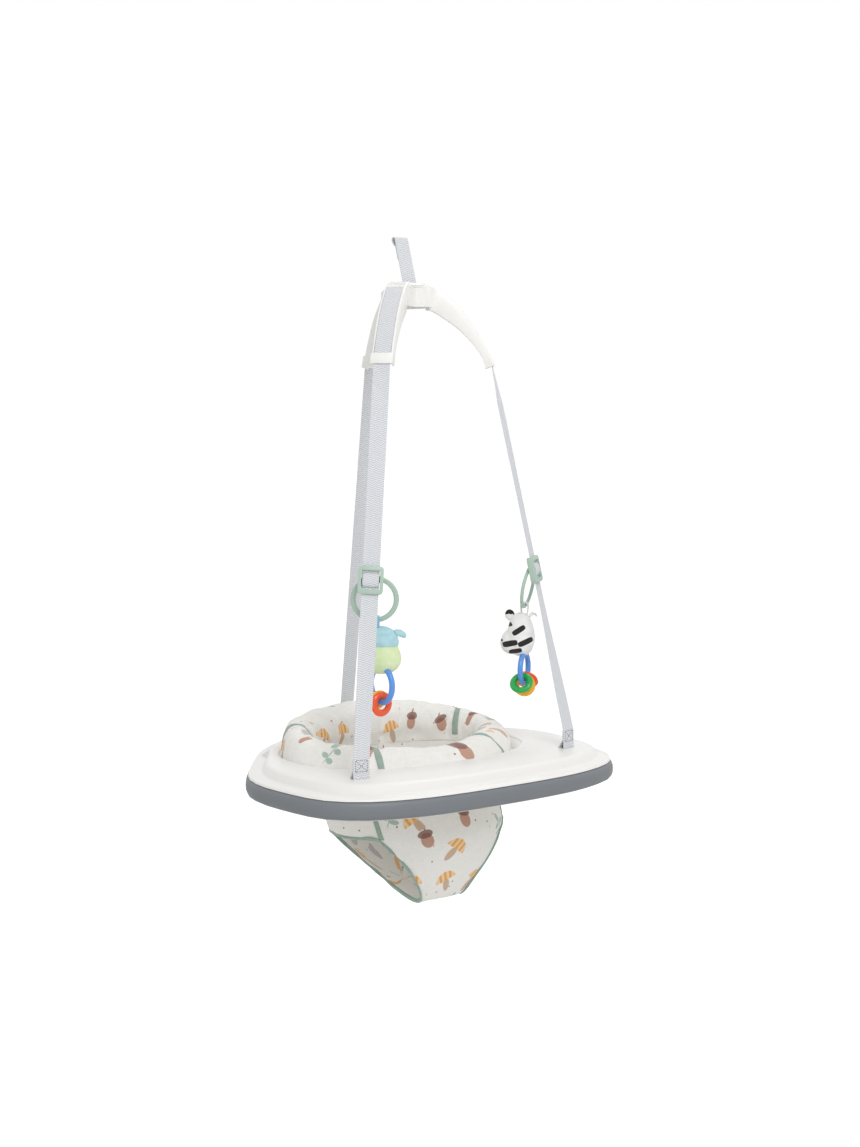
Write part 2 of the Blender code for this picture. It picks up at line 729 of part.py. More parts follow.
def strap_path(leg, anchor, angle_middle, angle_tray):
    """The route of one strap: round its pin, down the leg, straight to the tray and round the tray's bar."""
    centre = Vector((leg.anchor_out, -leg.anchor_drop, 0))
    floor = WEB_THICK / 2 + GAP
    lie = GROOVE_DEPTH - floor
    start = leg.bend
    on_leg = [leg.run[i] + leg.normal(i) * lie for i in range(start, len(leg.run))]
    first = Vector((leg.out_of(on_leg[0]), on_leg[0].z - CROWN.z, 0))
    away = first - centre
    heading = math.atan2(away.y, away.x)
    touch = heading + math.acos(wrap / away.length)
    path = []
    finish = math.radians(305)
    tail_out = Vector((-math.sin(finish), math.cos(finish), 0))
    tail_from = centre + Vector((math.cos(finish), math.sin(finish), 0)) * wrap
    path.append(tail_from + tail_out * HUB_TAIL)
    for k in range(9):
        angle = blend(finish, touch, k / 8)
        path.append(centre + Vector((math.cos(angle), math.sin(angle), 0)) * wrap)
    path = [leg.at(p.x, p.y) for p in path]
    across = [leg.across * -1] * (len(path) + len(on_leg))
    path += on_leg
    if across[0].x < 0:
        across = [side * -1 for side in across]
    leave = path[-1]
    leg_angle = math.atan2(across[0].y, across[0].x)
    turn_tray = Matrix.Rotation(angle_tray, 3, "Z") @ RIGHT
    front = UP.cross(turn_tray).normalized()
    if front.dot(leg.out) < 0:
        front.negate()
    slot = BAR_WIDTH / 2 + BAR_SLOT / 2
    enter = anchor + front * slot
    for k in range(1, 21):
        share = k / 20
        path.append(blend(leave, enter + UP * (TAB_LENGTH + slot), share))
        if share < 0.13:
            angle = blend(leg_angle, angle_middle, ease(share / 0.12))
        elif share < 0.6:
            angle = angle_middle
        else:
            angle = blend(angle_middle, angle_tray, ease((share - 0.6) / 0.38))
        across.append(Matrix.Rotation(angle, 3, "Z") @ RIGHT)
    down = (enter - leave).normalized()
    hook = [
        (slot, TRAY_WALL), (slot, -TRAY_WALL), (slot * 0.72, -TRAY_WALL - floor),
        (0, -TRAY_WALL - floor - GAP),
        (-slot * 0.72, -TRAY_WALL - floor), (-slot, -TRAY_WALL), (-slot, TRAY_WALL * 0.7),
    ]
    path += [anchor + front * f + UP * u for f, u in hook]
    lean = (path[-len(hook) - 1] - enter).dot(front) / (TAB_LENGTH + slot)
    tuck = slot + TRAY_WALL * 3
    for height in (tuck, TAB_LENGTH + tuck * 0.6):
        path.append(anchor + front * (slot + lean * height - layer * 1.02) + UP * height)
    across += [turn_tray] * (len(hook) + 2)
    side_lean = (path[-len(hook) - 3] - enter).dot(turn_tray) / (TAB_LENGTH + slot)
    for i in (-2, -1):
        path[i] = path[i] + turn_tray * side_lean * (path[i] - anchor).z
    return path, across


anchors = {
    "front_right": CROWN + Vector((FRONT_ANCHOR_SIDE, -FRONT_ANCHOR_FORWARD, -TRAY_TOP)),
    "front_left": CROWN + Vector((-FRONT_ANCHOR_SIDE, -FRONT_ANCHOR_FORWARD, -TRAY_TOP)),
    "rear": CROWN + Vector((0, REAR_ANCHOR_BACK, -TRAY_TOP)),
}
strap_angles = {
    "front_right": (STRAP_ANGLE_MIDDLE, STRAP_ANGLE_TRAY),
    "front_left": (-STRAP_ANGLE_MIDDLE, -STRAP_ANGLE_TRAY),
    "rear": (0, 0),
}
for leg in legs:
    path, across = strap_path(leg, anchors[leg.name], *strap_angles[leg.name])
    strap = band(f"strap_{leg.name}", path, across, WEB_WIDTH, WEB_THICK, WEBBING)
    leg.strap_path = path
    seat_on(strap, hub_pivot)

# Tray

ring_angles = np.arange(RING_COUNT) * FULL_TURN / RING_COUNT
dense_angles = np.arange(720) * FULL_TURN / 720


def polar(points):
    """The radius of a closed outline about the crown's axis, at every ring angle."""
    angles = np.mod(np.arctan2(points[:, 1], points[:, 0]), FULL_TURN)
    order = np.argsort(angles)
    return np.interp(
        ring_angles, angles[order], np.hypot(points[:, 0], points[:, 1])[order], period=FULL_TURN
    )


def oval(half_x, half_y, back, power=2.0):
    cosine, sine = np.cos(dense_angles), np.sin(dense_angles)
    x = half_x * np.sign(cosine) * np.abs(cosine) ** (2 / power)
    y = back + half_y * np.sign(sine) * np.abs(sine) ** (2 / power)
    return np.stack([x, y], axis=1)


def inset(points, distance):
    """The outline moved inwards by a distance."""
    along = np.roll(points, -1, axis=0) - np.roll(points, 1, axis=0)
    along /= np.hypot(along[:, 0], along[:, 1])[:, None]
    return points + np.stack([-along[:, 1], along[:, 0]], axis=1) * distance


def tray_outline():
    depth = TRAY_FRONT + TRAY_BACK
    half = [(x * TRAY_HALF_WIDTH, y * depth - TRAY_FRONT, 0) for x, y in OUTLINE_SHARES]
    other = [(-x, y, z) for x, y, z in half[1:-1]][::-1]
    return np.array([p[:2] for p in smooth_run(half + other, 12, closed=True)])


def ring_at(radii, drop):
    """A ring of points at polar radii, a given way under the crown: one drop or one for each point."""
    drops = np.broadcast_to(drop, radii.shape)
    return [
        CROWN + Vector((r * math.cos(a), r * math.sin(a), -d)) for r, a, d in zip(radii, ring_angles, drops)
    ]


outline = tray_outline()
ridge = oval(RIDGE_HALF_WIDTH, RIDGE_HALF_DEPTH, RIDGE_BACK, RIDGE_POWER)
opening = oval(OPENING_HALF_WIDTH, OPENING_HALF_DEPTH, OPENING_BACK)
bumper_top = TRAY_TOP + BUMPER_TOP_DROP
skirt = TRAY_TOP + SKIRT_DROP
ledge = TRAY_TOP + LEDGE_DROP
dish = TRAY_TOP + DISH_DROP
rim = BUMPER_DEPTH + GAP
tray_profile = [
    (outline, rim, skirt), (outline, rim, bumper_top - GAP), (outline, rim * 0.35, bumper_top - GAP),
    (outline, rim * 0.45, blend(bumper_top, ledge, 0.6)), (outline, rim * 0.8, ledge),
    (outline, rim * 1.3, ledge - TRAY_WALL * 0.5),
    (outline, PLATFORM_INSET * 0.88, TRAY_TOP + TRAY_WALL * 0.4), (outline, PLATFORM_INSET, TRAY_TOP),
    (ridge, 0, TRAY_TOP), (ridge, TRAY_WALL * 0.6, TRAY_TOP + TRAY_WALL * 0.5),
    (ridge, DISH_SLOPE * 0.7, dish - TRAY_WALL),
    (ridge, DISH_SLOPE, dish), (opening, 0, dish), (opening, 0, dish + TRAY_WALL),
    (ridge, DISH_SLOPE * 0.7, dish + TRAY_WALL), (ridge, DISH_SLOPE * 0.2, dish),
    (ridge, -TRAY_WALL, TRAY_TOP + TRAY_WALL),
    (outline, PLATFORM_INSET + TRAY_WALL * 0.4, TRAY_TOP + TRAY_WALL),
    (outline, rim + TRAY_WALL * 1.6, ledge + TRAY_WALL * 0.8),
    (outline, rim + TRAY_WALL, bumper_top + TRAY_WALL), (outline, rim + TRAY_WALL, skirt),
]
tray = loft(
    "tray_shell", [ring_at(polar(inset(shape, by)), drop) for shape, by, drop in tray_profile], WHITE,
    closed=True
)
for name, anchor in anchors.items():
    turn = Matrix.Rotation(strap_angles[name][1], 4, "Z")
    for side in (-1, 1):
        half = (WEB_WIDTH / 2 + 2 * WEB_SIDE_ROOM, BAR_SLOT / 2, 2 * TRAY_WALL)
        middle = Matrix.Translation(anchor) @ turn @ Matrix.Translation(
            (0, side * (BAR_WIDTH + BAR_SLOT) / 2, -TRAY_WALL / 2)
        )
        boolean(tray, block(f"tray slot {name} {side}", half, middle), "DIFFERENCE")
settle(tray)
seat_on(tray, hub_pivot)

BUMPER_SHARES = (
    (0.97, 0), (0.6, 0.005), (0.25, 0.07), (0.05, 0.26), (0, 0.5), (0.05, 0.74), (0.25, 0.93), (0.6, 0.995),
    (0.97, 1)
)
bumper_rings = [
    ring_at(polar(inset(outline, BUMPER_DEPTH * by)), bumper_top + BUMPER_HEIGHT * down)
    for by, down in BUMPER_SHARES
]
seat_on(loft("bumper", bumper_rings, GREY, closed=True), hub_pivot)

under_dish = dish + TRAY_WALL + GAP
ring_rings = [
    ring_at(polar(inset(opening, -out)), drop)
    for out, drop in (
        (GAP, under_dish), (RING_WIDTH, under_dish), (RING_WIDTH, under_dish + RING_THICK),
        (GAP, under_dish + RING_THICK),
    )
]
seat_on(loft("seat_ring", ring_rings, WHITE, closed=True), hub_pivot)

# Seat: a padded collar on the dish, and pants of thin padded cloth under it

collar_foot = dish - 2 * GAP
back_share = (1 + np.sin(ring_angles)) / 2
heights = blend(COLLAR_FRONT_HEIGHT, COLLAR_BACK_HEIGHT, back_share)
COLLAR_SHARES = (
    (-0.10, 0), (0.0, 0.02), (0.55, 0.16), (0.95, 0.42), (0.92, 0.68), (0.5, 0.91), (-0.15, 1.0),
    (-0.75, 0.95),
    (-1.15, 0.76), (-1.35, 0.45), (-1.42, 0.18), (-1.42, 0.0),
)
collar_oval = oval(COLLAR_HALF_WIDTH, COLLAR_HALF_DEPTH, COLLAR_BACK)
collar_rings = []
for out, up in COLLAR_SHARES:
    shift = COLLAR_BULGE * out if out > 0 else COLLAR_THICK * out / 1.42
    radii = polar(inset(collar_oval, -shift))
    puff = 1 + 0.010 * max(out, 0) * np.cos(ring_angles * 10)
    collar_rings.append(ring_at(radii * puff, collar_foot - heights * up))
seat_on(loft("seat_collar", collar_rings, LINEN, closed=True), hub_pivot)


def seat_point(x, y, drop):
    return CROWN + Vector((x, y, -drop))


def arc_row(edge, middle, half_angle, count):
    """A row across one panel: from its edge to its mirror image, bowed as an arc through the middle."""
    row = []
    for k in range(count + 1):
        share = 2 * k / count - 1
        angle = half_angle * share
        bow = (1 - math.cos(angle)) / (1 - math.cos(half_angle))
        x = abs(edge.x) * math.sin(angle) / math.sin(half_angle)
        row.append(Vector((x, blend(middle.y, edge.y, bow), blend(middle.z, edge.z, bow))))
    return row


PANEL = 12
SIDE = 6
waist_top = dish + 3 * GAP
front_half = PANTS_FRONT_ANGLE
rear_half = PANTS_REAR_ANGLE


def waist_row(half_x, half_y, back, drop, rise):
    """A closed row round the waist, in the order front panel, right side, rear panel, left side."""
    right_from = -math.pi / 2 + front_half
    right_to = math.pi / 2 - rear_half
    angles = [-math.pi / 2 - front_half + 2 * front_half * k / PANEL for k in range(PANEL)]
    angles += [blend(right_from, right_to, k / SIDE) for k in range(SIDE)]
    angles += [right_to + 2 * rear_half * k / PANEL for k in range(PANEL)]
    angles += [blend(math.pi - right_to, math.pi * 1.5 - front_half, k / SIDE) for k in range(SIDE)]
    row = []
    for a in angles:
        lower = -rise * (1 - math.sin(a)) / 2
        row.append(seat_point(half_x * math.cos(a), back + half_y * math.sin(a), drop + lower))
    return row


rows = [
    waist_row(WAIST_HALF_WIDTH, WAIST_HALF_DEPTH, OPENING_BACK, waist_top, 0),
    waist_row(
        blend(WAIST_HALF_WIDTH, BAND_HALF_WIDTH, 0.3), blend(WAIST_HALF_DEPTH, BAND_HALF_DEPTH, 0.3),
        blend(OPENING_BACK, -BAND_FORWARD, 0.2), blend(waist_top, BAND_DROP, 0.35), 0
    ),
    waist_row(
        blend(WAIST_HALF_WIDTH, BAND_HALF_WIDTH, 0.8), blend(WAIST_HALF_DEPTH, BAND_HALF_DEPTH, 0.7),
        blend(OPENING_BACK, -BAND_FORWARD, 0.7), blend(waist_top, BAND_DROP, 0.7), BAND_FRONT_RISE / 2
    ),
    waist_row(BAND_HALF_WIDTH, BAND_HALF_DEPTH, -BAND_FORWARD, BAND_DROP, BAND_FRONT_RISE),
]
around = len(rows[0])
verts = [p for row in rows for p in row]
faces = []
for r in range(len(rows) - 1):
    for i in range(around):
        j = (i + 1) % around
        faces.append((r * around + i, r * around + j, (r + 1) * around + j, (r + 1) * around + i))
base = (len(rows) - 1) * around
front_top = [base + k for k in range(PANEL + 1)]
rear_top = [base + PANEL + SIDE + k for k in range(PANEL + 1)]
band_row = rows[-1]
front_edge_top = band_row[PANEL]
rear_edge_top = band_row[PANEL + SIDE]
front_mid_top = band_row[PANEL // 2]
rear_mid_top = band_row[PANEL + SIDE + PANEL // 2]
crotch_edge = seat_point(CROTCH_HALF_WIDTH, -CROTCH_FORWARD, CROTCH_DROP)
crotch_mid = seat_point(0, -CROTCH_FORWARD, CROTCH_DROP)


def add_rows(points_rows, top):
    """Adds the panel's rows under its top row, and returns the index rows."""
    index_rows = [top]
    for row in points_rows:
        start = len(verts)
        verts.extend(row)
        index_rows.append([start + k for k in range(len(row))])
    return index_rows


front_rows = []
for x_share, z_share in FRONT_EDGE_SHARES[1:]:
    bulge = FRONT_BULGE * math.sin(math.pi * z_share)
    edge = Vector((
        max(abs(front_edge_top.x) * x_share, CROTCH_HALF_WIDTH),
        blend(front_edge_top.y, crotch_edge.y, z_share) - bulge,
        blend(front_edge_top.z, crotch_edge.z, z_share),
    ))
    middle = Vector((
        0, blend(front_mid_top.y, crotch_mid.y, z_share) - bulge / 2,
        blend(front_mid_top.z, crotch_mid.z, z_share),
    ))
    front_rows.append(arc_row(edge, middle, blend(front_half, front_half * 0.3, z_share), PANEL))
crotch_row = arc_row(crotch_edge, crotch_mid, front_half * 0.3, PANEL)
front_index = add_rows(front_rows + [crotch_row], front_top)
rear_rows = []
for (x_share, y_share, z_share), (my_share, mz_share) in zip(REAR_EDGE_SHARES[1:], REAR_MIDDLE_SHARES[1:]):
    edge = Vector((
        max(abs(rear_edge_top.x) * x_share, CROTCH_HALF_WIDTH),
        blend(crotch_edge.y, rear_edge_top.y, y_share), blend(rear_edge_top.z, crotch_edge.z, z_share),
    ))
    middle = Vector(
        (0, blend(crotch_mid.y, rear_mid_top.y, my_share), blend(rear_mid_top.z, crotch_mid.z, mz_share))
    )
    if z_share < 0.99 and my_share > 0:
        rear_rows.append(arc_row(edge, middle, blend(rear_half, rear_half * 0.2, z_share), PANEL)[::-1])
rear_index = add_rows(rear_rows, rear_top)
rear_index.append(front_index[-1][::-1])
for index_rows in (front_index, rear_index):
    for upper, lower in zip(index_rows[:-1], index_rows[1:]):
        for k in range(PANEL):
            faces.append((upper[k], upper[k + 1], lower[k + 1], lower[k]))
pants = mesh_object("seat_pants", verts, faces, LINEN)
thicken = pants.modifiers.new("cloth", "SOLIDIFY")
thicken.thickness = FABRIC_THICK
thicken.offset = -1
thicken.use_even_offset = False
settle(pants)
tidy(pants)
seat_on(pants, hub_pivot)

# Leg bindings: a soft edge round each leg opening, and a tape down each side of the front


def binding_route(side):
    """The leg opening's edge and the way out of the cloth there, in order round the opening."""
    route = []
    column = PANEL if side > 0 else 0
    inner = PANEL - 1 if side > 0 else 1
    for index in front_index[1:-1]:
        route.append((verts[index[column]], verts[index[inner]]))
    route.append((verts[front_index[-1][column]], verts[front_index[-1][inner]]))
    rear_column = 0 if side > 0 else PANEL
    rear_inner = 1 if side > 0 else PANEL - 1
    for index in rear_index[1:-1][::-1]:
        route.append((verts[index[rear_column]], verts[index[rear_inner]]))
    start = PANEL + SIDE if side > 0 else PANEL + SIDE + PANEL
    step = -1 if side > 0 else 1
    for k in range(SIDE + 1):
        i = (start + step * k) % around
        here = verts[base + i]
        above = verts[base - around + i]
        if k in (0, SIDE):
            panel = rear_index if k == 0 else front_index
            place = (rear_column, rear_inner) if k == 0 else (column, inner)
            beside = verts[panel[1][place[1]]]
            above = here + ((above - here).normalized() + (beside - here).normalized()) / 2
        route.append((here, above))
    return route


for side, name in ((1, "right"), (-1, "left")):
    route = binding_route(side)
    reach = BINDING_RADIUS + 7 * GAP + FABRIC_THICK * 0.6
    centre_line = []
    for i, (edge, inside) in enumerate(route):
        away = (edge - inside).normalized()
        beside = [(route[(i + k) % len(route)][0] - edge).normalized() for k in (-1, 1)]
        clear = min(math.sqrt(1 - away.dot(along) ** 2) for along in beside)
        centre_line.append(edge + away * reach / max(clear, 0.6))
    dense = smooth_run(centre_line, 2, closed=True)
    curve = bpy.data.curves.new(f"leg_binding_{name}", "CURVE")
    curve.dimensions = "3D"
    curve.bevel_depth = BINDING_RADIUS
    curve.bevel_resolution = 1
    spline = curve.splines.new("POLY")
    spline.points.add(len(dense) - 1)
    for point, at in zip(spline.points, dense):
        point.co = (*at, 1)
    spline.use_cyclic_u = True
    made = bpy.data.objects.new(f"leg_binding_{name}", curve)
    parts.objects.link(made)
    mesh = bpy.data.meshes.new_from_object(made.evaluated_get(bpy.context.evaluated_depsgraph_get()))
    bpy.data.objects.remove(made)
    solid = bpy.data.objects.new(f"leg_binding_{name}", mesh)
    parts.objects.link(solid)
    mesh.materials.clear()
    mesh.materials.append(SAGE)
    tidy(solid)
    seat_on(solid, hub_pivot)
    column = PANEL if side > 0 else 0
    top_here, top_above = verts[base + column], verts[base - around + column]
    upward = (top_above - top_here).normalized()
    face = (verts[base + column + 1] - verts[base + (column - 1) % around]).normalized()
    out = face.cross(upward).normalized()
    if out.dot(Vector((top_here.x, top_here.y, 0))) < 0:
        out.negate()
    lift = FABRIC_THICK * 0.2 + TAPE_THICK / 2 + 4 * GAP
    line = [top_here + upward * h + out * lift for h in (TAPE_FOOT, TAPE_LENGTH / 2, TAPE_LENGTH)]
    tape = band(f"side_tape_{name}", line, [face] * len(line), TAPE_WIDTH, TAPE_THICK, SAGE)
    seat_on(tape, hub_pivot)

# Sliders, each with a moulded ring on its inner side


def slider_frame(leg):
    """A slider's own axes: X across the webbing, Y inwards and Z up along it."""
    path = leg.strap_path
    drop = CROWN.z - SLIDER_DROP
    below = next(i for i in range(20, len(path)) if path[i].z < drop)
    high, low = path[below - 1], path[below]
    place = blend(high, low, (high.z - drop) / (high.z - low.z))
    up = (high - low).normalized()
    angle = strap_angles[leg.name][0]
    across = Matrix.Rotation(angle, 3, "Z") @ RIGHT
    inwards = up.cross(across).normalized()
    return axes_matrix(inwards.cross(up).normalized(), inwards, up, place)


def rounded_plate(name, half_x, half_z, radius, half_thick):
    """A flat plate with rounded corners, from a 2D outline, standing in the XZ plane."""
    curve = bpy.data.curves.new(name, "CURVE")
    curve.dimensions = "2D"
    curve.fill_mode = "BOTH"
    curve.extrude = half_thick
    spline = curve.splines.new("POLY")
    points = []
    for corner_x, corner_z, start in ((1, 1, 0), (-1, 1, 1), (-1, -1, 2), (1, -1, 3)):
        for k in range(5):
            angle = (start + k / 4) * math.pi / 2
            points.append(
                (
                    corner_x * (half_x - radius) + radius * math.cos(angle),
                    corner_z * (half_z - radius) + radius * math.sin(angle)
                )
            )
    spline.points.add(len(points) - 1)
    for point, (x, z) in zip(spline.points, points):
        point.co = (x, z, 0, 1)
    spline.use_cyclic_u = True
    made = bpy.data.objects.new(name, curve)
    parts.objects.link(made)
    mesh = bpy.data.meshes.new_from_object(made.evaluated_get(bpy.context.evaluated_depsgraph_get()))
    bpy.data.objects.remove(made)
    shape = bmesh.new()
    shape.from_mesh(mesh)
    bmesh.ops.remove_doubles(shape, verts=shape.verts, dist=GAP / 10)
    bmesh.ops.rotate(shape, verts=shape.verts, matrix=Matrix.Rotation(math.pi / 2, 3, "X"))
    shape.to_mesh(mesh)
    shape.free()
    solid = bpy.data.objects.new(name, mesh)
    parts.objects.link(solid)
    tidy(solid)
    return solid


def torus(name, major, minor, flatten, matrix, material=None, rounds=32, sides=8):
    """A ring about the matrix's Y axis; flatten is its thickness along that axis as a share."""
    bpy.ops.mesh.primitive_torus_add(
        major_radius=major, minor_radius=minor, major_segments=rounds, minor_segments=sides
    )
    made = bpy.context.object
    made.name = name
    made.data.name = name
    for owner in list(made.users_collection):
        owner.objects.unlink(made)
    parts.objects.link(made)
    turn = Matrix.Rotation(math.pi / 2, 4, "X")
    made.data.transform(matrix @ turn @ Matrix.Diagonal((1, 1, flatten, 1)))
    tidy(made)
    if material:
        made.data.materials.append(material)
    return made


still = Matrix.Identity(4)
sliders = {}
for leg in legs[:2]:
    side = leg.name.split("_")[1]
    name = f"slider_{side}"
    frame = slider_frame(leg)
    slider = rounded_plate(name, SLIDER_WIDTH / 2, SLIDER_HEIGHT / 2, SLIDER_ROUND, SLIDER_HALF_DEPTH)
    slider.data.materials.append(SAGE)
    clear = WEB_THICK / 2 + SLIDER_CLEARANCE
    half_window = WEB_WIDTH / 2 + 2 * SLIDER_CLEARANCE
    window = block(
        f"window {side}", (half_window, 2 * SLIDER_HALF_DEPTH, SLIDER_HEIGHT / 2 - SLIDER_BAR), still
    )
    carve(slider, window, "DIFFERENCE")
    pass_half = (2 * SLIDER_HALF_DEPTH + clear) / 2
    passage = block(
        f"passage {side}", (half_window, pass_half, SLIDER_HEIGHT),
        Matrix.Translation((0, pass_half - clear, 0))
    )
    carve(slider, passage, "DIFFERENCE")
    middle_half = (SLIDER_HALF_DEPTH - clear) / 2
    bar = block(
        f"middle bar {side}", (half_window + SLIDER_BAR / 4, middle_half, SLIDER_BAR / 2),
        Matrix.Translation((0, clear + middle_half, 0))
    )
    carve(slider, bar, "UNION")
    tilt = Matrix.Translation((LOOP_SIDE, LOOP_IN, -LOOP_DROP)) @ Matrix.Rotation(LOOP_TILT, 4, "X")
    loop = torus(f"hanging ring {side}", LOOP_RADIUS, LOOP_TUBE, LOOP_FLATTEN_SHARE, tilt)
    carve(slider, loop, "UNION")

    slider.parent = hub_pivot
    slider.matrix_local = Matrix.Translation(-hub_place) @ frame
    sliders[side] = (slider, frame, tilt)

# Toys


def egg(name, half_x, half_y, half_z, matrix, material=None, sides=20, grow=0.0):
    """A turned egg form, wider below its middle, scaled to its own half sizes."""
    profile = bpy.data.meshes.new(name)
    points = [(x, 0, z) for x, z in EGG_SHARES]
    profile.from_pydata(points, [(i, i + 1) for i in range(len(points) - 1)], [])
    made = bpy.data.objects.new(name, profile)
    parts.objects.link(made)
    turn = made.modifiers.new("turn", "SCREW")
    turn.steps = sides
    turn.render_steps = sides
    turn.use_merge_vertices = True
    turn.merge_threshold = 0.0001
    settle(made)
    sizes = (half_x + grow, half_y + grow, half_z + grow, 1)
    made.data.transform(matrix @ Matrix.Diagonal(sizes))
    tidy(made)
    if material:
        made.data.materials.append(material)
    return made


def horn(name, route, radii, matrix, material=None, sides=8):
    """A tapering limb along a curved route, closed at both ends."""
    route = [Vector(p) for p in route]
    sections = []
    last = len(route) - 1
    for i, (centre, radius) in enumerate(zip(route, radii)):
        along = (route[min(i + 1, last)] - route[max(i - 1, 0)]).normalized()
        first = along.cross(UP if abs(along.z) < 0.9 else RIGHT).normalized()
        second = along.cross(first)
        sections.append(
            [
                matrix @ (centre + first * radius * math.cos(a) + second * radius * math.sin(a))
                for a in (k * FULL_TURN / sides for k in range(sides))
            ]
        )
    return loft(name, sections, material)


def hang_point(side, sideways):
    """The bottom of the slider's ring, where the toy's ribbon goes round it, in world coordinates."""
    slider, frame, tilt = sliders[side]
    low = tilt @ Vector((sideways, 0, -math.sqrt(LOOP_RADIUS**2 - sideways**2)))
    return frame @ low


def toy_frame(side, place):
    """Upright axes at the hanging point, with X along the webbing's width."""
    turn = Matrix.Rotation(strap_angles[f"front_{side}"][0], 4, "Z")
    return Matrix.Translation(place) @ turn


def ribbon_loop(name, frame, long, material):
    """A ribbon eye round the slider's ring, in the plane square to it."""
    inner = LOOP_TUBE + RIBBON_PLAY + RIBBON_THICK / 2
    points = []
    for k in range(9):
        angle = math.pi * k / 8
        points.append((0, inner * math.cos(angle), inner * math.sin(angle)))
    points.append((0, -inner * 0.8, -long * 0.5))
    for k in range(5):
        angle = math.pi + math.pi * k / 4
        points.append((0, inner * 0.45 * math.cos(angle), -long + inner * 0.45 * math.sin(angle)))
    points.append((0, inner * 0.8, -long * 0.5))
    centres = [frame @ Vector(p) for p in points]
    return ribbon_ring(name, centres, frame.to_3x3() @ RIGHT, RIBBON_WIDTH, RIBBON_THICK, material)


def finish_toy_piece(made, pivot_empty, pivot=None):
    settle(made)
    tidy(made)
    return seat_on(made, pivot_empty, pivot)


def hang_rings(prefix, colours, hoop_place, hoop_turn, hoop_radius, angles, parent):
    """Rings threaded on the hoop, each square to the hoop where it hangs."""
    rise = RING_HOLE - HOOP_TUBE - 3 * GAP
    minor = (RING_OUTER - RING_HOLE) / 2
    major = (RING_OUTER + RING_HOLE) / 2
    for (colour, material), angle in zip(colours, angles):
        swing = hoop_turn @ Matrix.Rotation(angle, 4, "Y")
        out = swing @ Vector((0, 0, -1))
        along = swing @ RIGHT
        on_hoop = hoop_place + out * hoop_radius
        centre = on_hoop + out * rise
        axes = axes_matrix(out.cross(along), along, out * -1, centre)
        made = torus(
            f"{prefix}_{colour}", major, minor, RING_HALF_THICK / minor, axes, material, rounds=24, sides=8
        )
        seat_on(made, parent, on_hoop)
        print(
            "ring", made.name, "pivot", tuple(round(v, 6) for v in on_hoop), "axis",
            tuple(round(v, 6) for v in along)
        )


# Left toy: a round head with a cap and a curled ear, a hoop and rings

left_place = hang_point("left", LEFT_HANG_SIDE)
left_frame = toy_frame("left", left_place)
left_pivot = add_empty("toy_left_pivot", left_place, hub_pivot)
body_at = left_frame @ Matrix.Translation((LEFT_BODY_SIDE, 0, -LEFT_BODY_DROP))
body = egg(
    "toy_left_body", LEFT_BODY_HALF, LEFT_BODY_HALF * LEFT_BODY_FLATTEN_SHARE, LEFT_BODY_HALF_HEIGHT,
    body_at, PALE_GREEN
)
seat_on(body, left_pivot)
cap_at = left_frame @ Matrix.Translation((LEFT_BODY_SIDE, 0, -LEFT_CAP_DROP))
cap = egg(
    "toy_left_cap", LEFT_CAP_HALF, LEFT_CAP_HALF * LEFT_BODY_FLATTEN_SHARE, LEFT_CAP_HALF_HEIGHT, cap_at,
    PALE_BLUE
)
boolean(
    cap, egg(
        "left body room", LEFT_BODY_HALF, LEFT_BODY_HALF * LEFT_BODY_FLATTEN_SHARE, LEFT_BODY_HALF_HEIGHT,
        body_at, grow=GAP
    ), "DIFFERENCE"
)
finish_toy_piece(cap, left_pivot)
LEFT_EAR_ROUTE_SHARES = ((0, 0.02), (0.3, 0.08), (0.58, 0.04), (0.82, -0.1), (0.97, -0.26))
LEFT_EAR_RADIUS_SHARES = (0.8, 1, 1.05, 0.9, 0.4)
ear_route = [(LEFT_EAR_LENGTH * x, 0, LEFT_EAR_LENGTH * z) for x, z in LEFT_EAR_ROUTE_SHARES]
ear_radii = [LEFT_EAR_RADIUS * share for share in LEFT_EAR_RADIUS_SHARES]
ear_place = (LEFT_BODY_SIDE + LEFT_EAR_SIDE, 0, LEFT_EAR_RISE - LEFT_CAP_DROP)
ear_at = left_frame @ Matrix.Translation(ear_place)
ear = horn("toy_left_ear", ear_route, ear_radii, ear_at, PALE_BLUE)
boolean(
    ear, egg(
        "left cap room", LEFT_CAP_HALF, LEFT_CAP_HALF * LEFT_BODY_FLATTEN_SHARE, LEFT_CAP_HALF_HEIGHT,
        cap_at, grow=GAP
    ), "DIFFERENCE"
)
finish_toy_piece(ear, left_pivot)
left_loop = ribbon_loop("toy_left_loop", left_frame, LEFT_CAP_DROP, BLUE)
boolean(
    left_loop, egg(
        "left cap room 2", LEFT_CAP_HALF, LEFT_CAP_HALF * LEFT_BODY_FLATTEN_SHARE, LEFT_CAP_HALF_HEIGHT,
        cap_at, grow=GAP
    ), "DIFFERENCE"
)
finish_toy_piece(left_loop, left_pivot)
hoop_turn = Matrix.Rotation(-math.pi / 2, 4, "Z")
hoop_place = left_frame @ Vector((LEFT_HOOP_SIDE, 0, -LEFT_HOOP_DROP))
hoop_at = Matrix.Translation(hoop_place) @ hoop_turn
hoop = torus("toy_left_hoop", HOOP_RADIUS, HOOP_TUBE, 1, hoop_at, BLUE, rounds=32, sides=8)
boolean(
    hoop, egg(
        "left body room 2", LEFT_BODY_HALF, LEFT_BODY_HALF * LEFT_BODY_FLATTEN_SHARE, LEFT_BODY_HALF_HEIGHT,
        body_at, grow=GAP
    ), "DIFFERENCE"
)
finish_toy_piece(hoop, left_pivot)
hang_rings(
    "toy_left_ring", (("orange", ORANGE), ("yellow", YELLOW)), hoop_place, hoop_turn, HOOP_RADIUS,
    (0, RING_FAN), left_pivot
)

# Right toy: a striped head seen from its side, with an ear, a tail tuft, a hoop and rings

